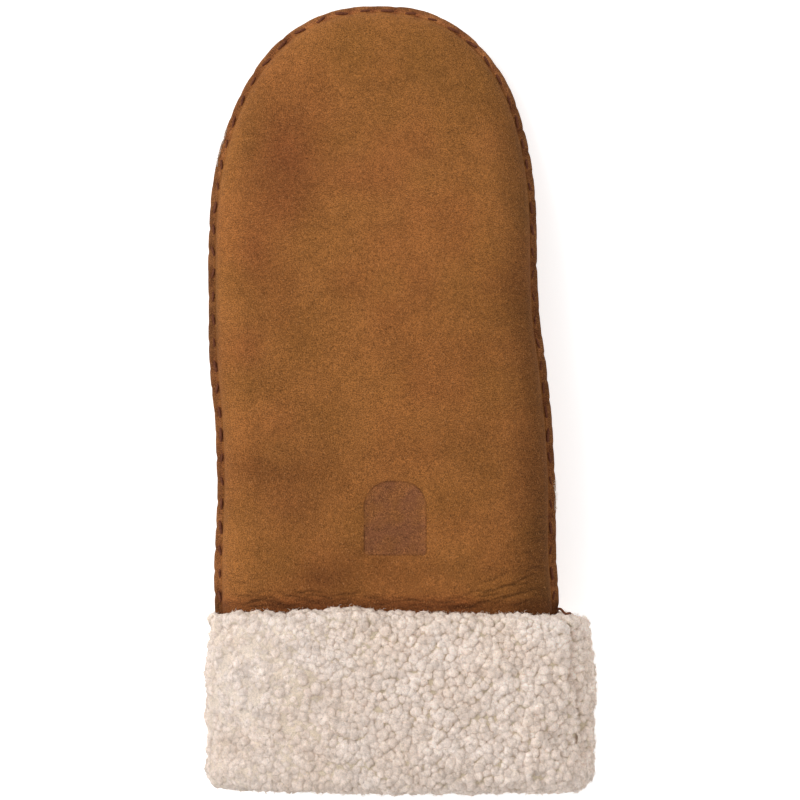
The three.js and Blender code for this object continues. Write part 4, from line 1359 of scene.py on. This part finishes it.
def wisp_tree(material):
    """Fibres close together along a path, leaning outwards."""
    sizes = {"Length": 1.0, "Thickness": 1.0, "Apart": 1.0, "Seed": 1}
    tree, size = geometry_tree("wisps", sizes)
    steps = steps_along(tree, path_curve(tree, size), size["Apart"])
    aim = {"Vector": read_input(tree, "outwards", "FLOAT_VECTOR")}
    lean = add_node(tree, "FunctionNodeAlignRotationToVector", aim, axis="X").outputs[0]
    spin = random_turn(tree, lean, (-1.5, -0.5, -0.9), (1.5, 0.9, 0.9), size["Seed"])
    vary = random_between(tree, 0.4, 1.1, size["Seed"])
    wisps = repeated(tree, steps, kinked_fibre(tree, size), spin, vary)
    finish_tree(tree, toned_apart(tree, wisps), material)
    return tree


wisp_maker = wisp_tree(fibre_wool)
for number, row in enumerate(WISP_ROWS):
    ribs = seam_ribs(CUFF_HEIGHT)
    y = ribs["seam"][:, 1]
    part = (y > row["from"]) & (y < row["to"]) & (ribs["seam"][:, 0] * row["side"] > 0)
    edge = (ribs["seam"] + WISP["out"] * SEAM_LIP * ribs["outward"])[part]
    spread = 0.3 * soft_noise(edge[:, 1], 0 * edge[:, 1], 2.5, 61)
    root = seam_z(edge[:, 1]) + GAP / 2 + WISP["high"] * HIDE
    line = np.stack([edge[:, 0] + spread, edge[:, 1], root], 1)
    outwards = np.concatenate([ribs["outward"][part], np.zeros((len(edge), 1))], 1)
    path = path_piece("wisp_path", line, outwards)
    sizes = {"Length": WISP["length"], "Thickness": WISP["thick"], "Apart": WISP["apart"], "Seed": 7 + number}
    wisps = grown("seam_wisps_%d" % (number + 1), path, wisp_maker, sizes)
    bpy.data.objects.remove(path)
    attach(wisps, "root")

# Thread end. The tail of the seam's thread lies over the cuff's edge on the thumb side.
TAIL = {"x": 58.2, "y": 56.4, "z": 26.4, "long": 4.2, "thick": 0.9, "down": 1.9, "wave": 0.45, "arch": 1.3}


def tail_tree(material):
    """A round thread drawn along a path."""
    tree, size = geometry_tree("tail", {"Thickness": 1.0})
    section = round_section(tree, size["Thickness"], 8)
    finish_tree(tree, drawn_along(tree, path_curve(tree, size), section, {"Fill Caps": True}), material)
    return tree


share = np.linspace(0, 1, 24)
curled = [
    TAIL["x"] + TAIL["long"] * share,
    TAIL["y"] - TAIL["down"] * share + TAIL["wave"] * np.sin(8 * share),
    TAIL["z"] + TAIL["arch"] * np.sin(math.pi * share) + 0.3 * np.sin(11 * share),
]
path = path_piece("tail_path", np.stack(curled, 1))
tail = grown("thread_tail", path, tail_tree(thread), {"Thickness": TAIL["thick"]})
bpy.data.objects.remove(path)
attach(tail, "root")

# Cuff skin. The turned-back end of the hide lies hidden between the wool of the cuff and the mitten's own
# suede, so it keeps its plain shape and only takes the suede.
cuff_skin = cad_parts["cuff_skin"]
cuff_skin.data.materials.clear()
cuff_skin.data.materials.append(plain_suede)

# Studio. The mitten lies on a white table under a soft light from the left, and is seen from straight above.
PHOTO_WIDTH = 272.8
PHOTO_CENTRE = (0.17, -0.34)
CAMERA_HEIGHT = 2600
SENSOR = 36
TABLE = {"half": 3000, "sunk": 0.3}
corners = np.array([(-1, -1), (1, -1), (1, 1), (-1, 1)]) * TABLE["half"] / 1000
table_mesh = bpy.data.meshes.new("table")
table_mesh.from_pydata([(x, y, -TABLE["sunk"] / 1000) for x, y in corners], [], [(0, 1, 2, 3)])
table = new_object("table", table_mesh)
table_paint, table_tree, table_shader = new_material("table_paint")
table_shader.inputs["Base Color"].default_value = (0.86, 0.86, 0.86, 1)
table_shader.inputs["Roughness"].default_value = 0.8
table_shader.inputs["Emission Color"].default_value = (1, 1, 1, 1)
table_shader.inputs["Emission Strength"].default_value = 0.5
table_mesh.materials.append(table_paint)

world = bpy.data.worlds.new("studio")
world.use_nodes = True
backdrop = world.node_tree.nodes["Background"]
backdrop.inputs["Color"].default_value = (1, 1, 1, 1)
backdrop.inputs["Strength"].default_value = 0.68
bpy.context.scene.world = world

LAMP_ROWS = [
    {"name": "key", "from": (-1.6, 0.7, 1.9), "size": 1.8, "watts": 48},
    {"name": "fill", "from": (1.3, -0.9, 2.0), "size": 2.0, "watts": 6},
]
for row in LAMP_ROWS:
    lamp = bpy.data.lights.new(row["name"], "AREA")
    lamp.energy = row["watts"]
    lamp.size = row["size"]
    stand = new_object(row["name"], lamp)
    stand.location = row["from"]
    aim = -stand.location
    stand.rotation_euler = aim.to_track_quat("-Z", "Y").to_euler()

lens = bpy.data.cameras.new("photographer")
lens.sensor_width = SENSOR
lens.lens = SENSOR * (CAMERA_HEIGHT - SEAM_HEIGHT) / PHOTO_WIDTH
lens.clip_end = 20
camera = new_object("photographer", lens)
camera.location = (PHOTO_CENTRE[0] / 1000, PHOTO_CENTRE[1] / 1000, CAMERA_HEIGHT / 1000)
bpy.context.scene.camera = camera
bpy.context.scene.view_settings.view_transform = "Standard"
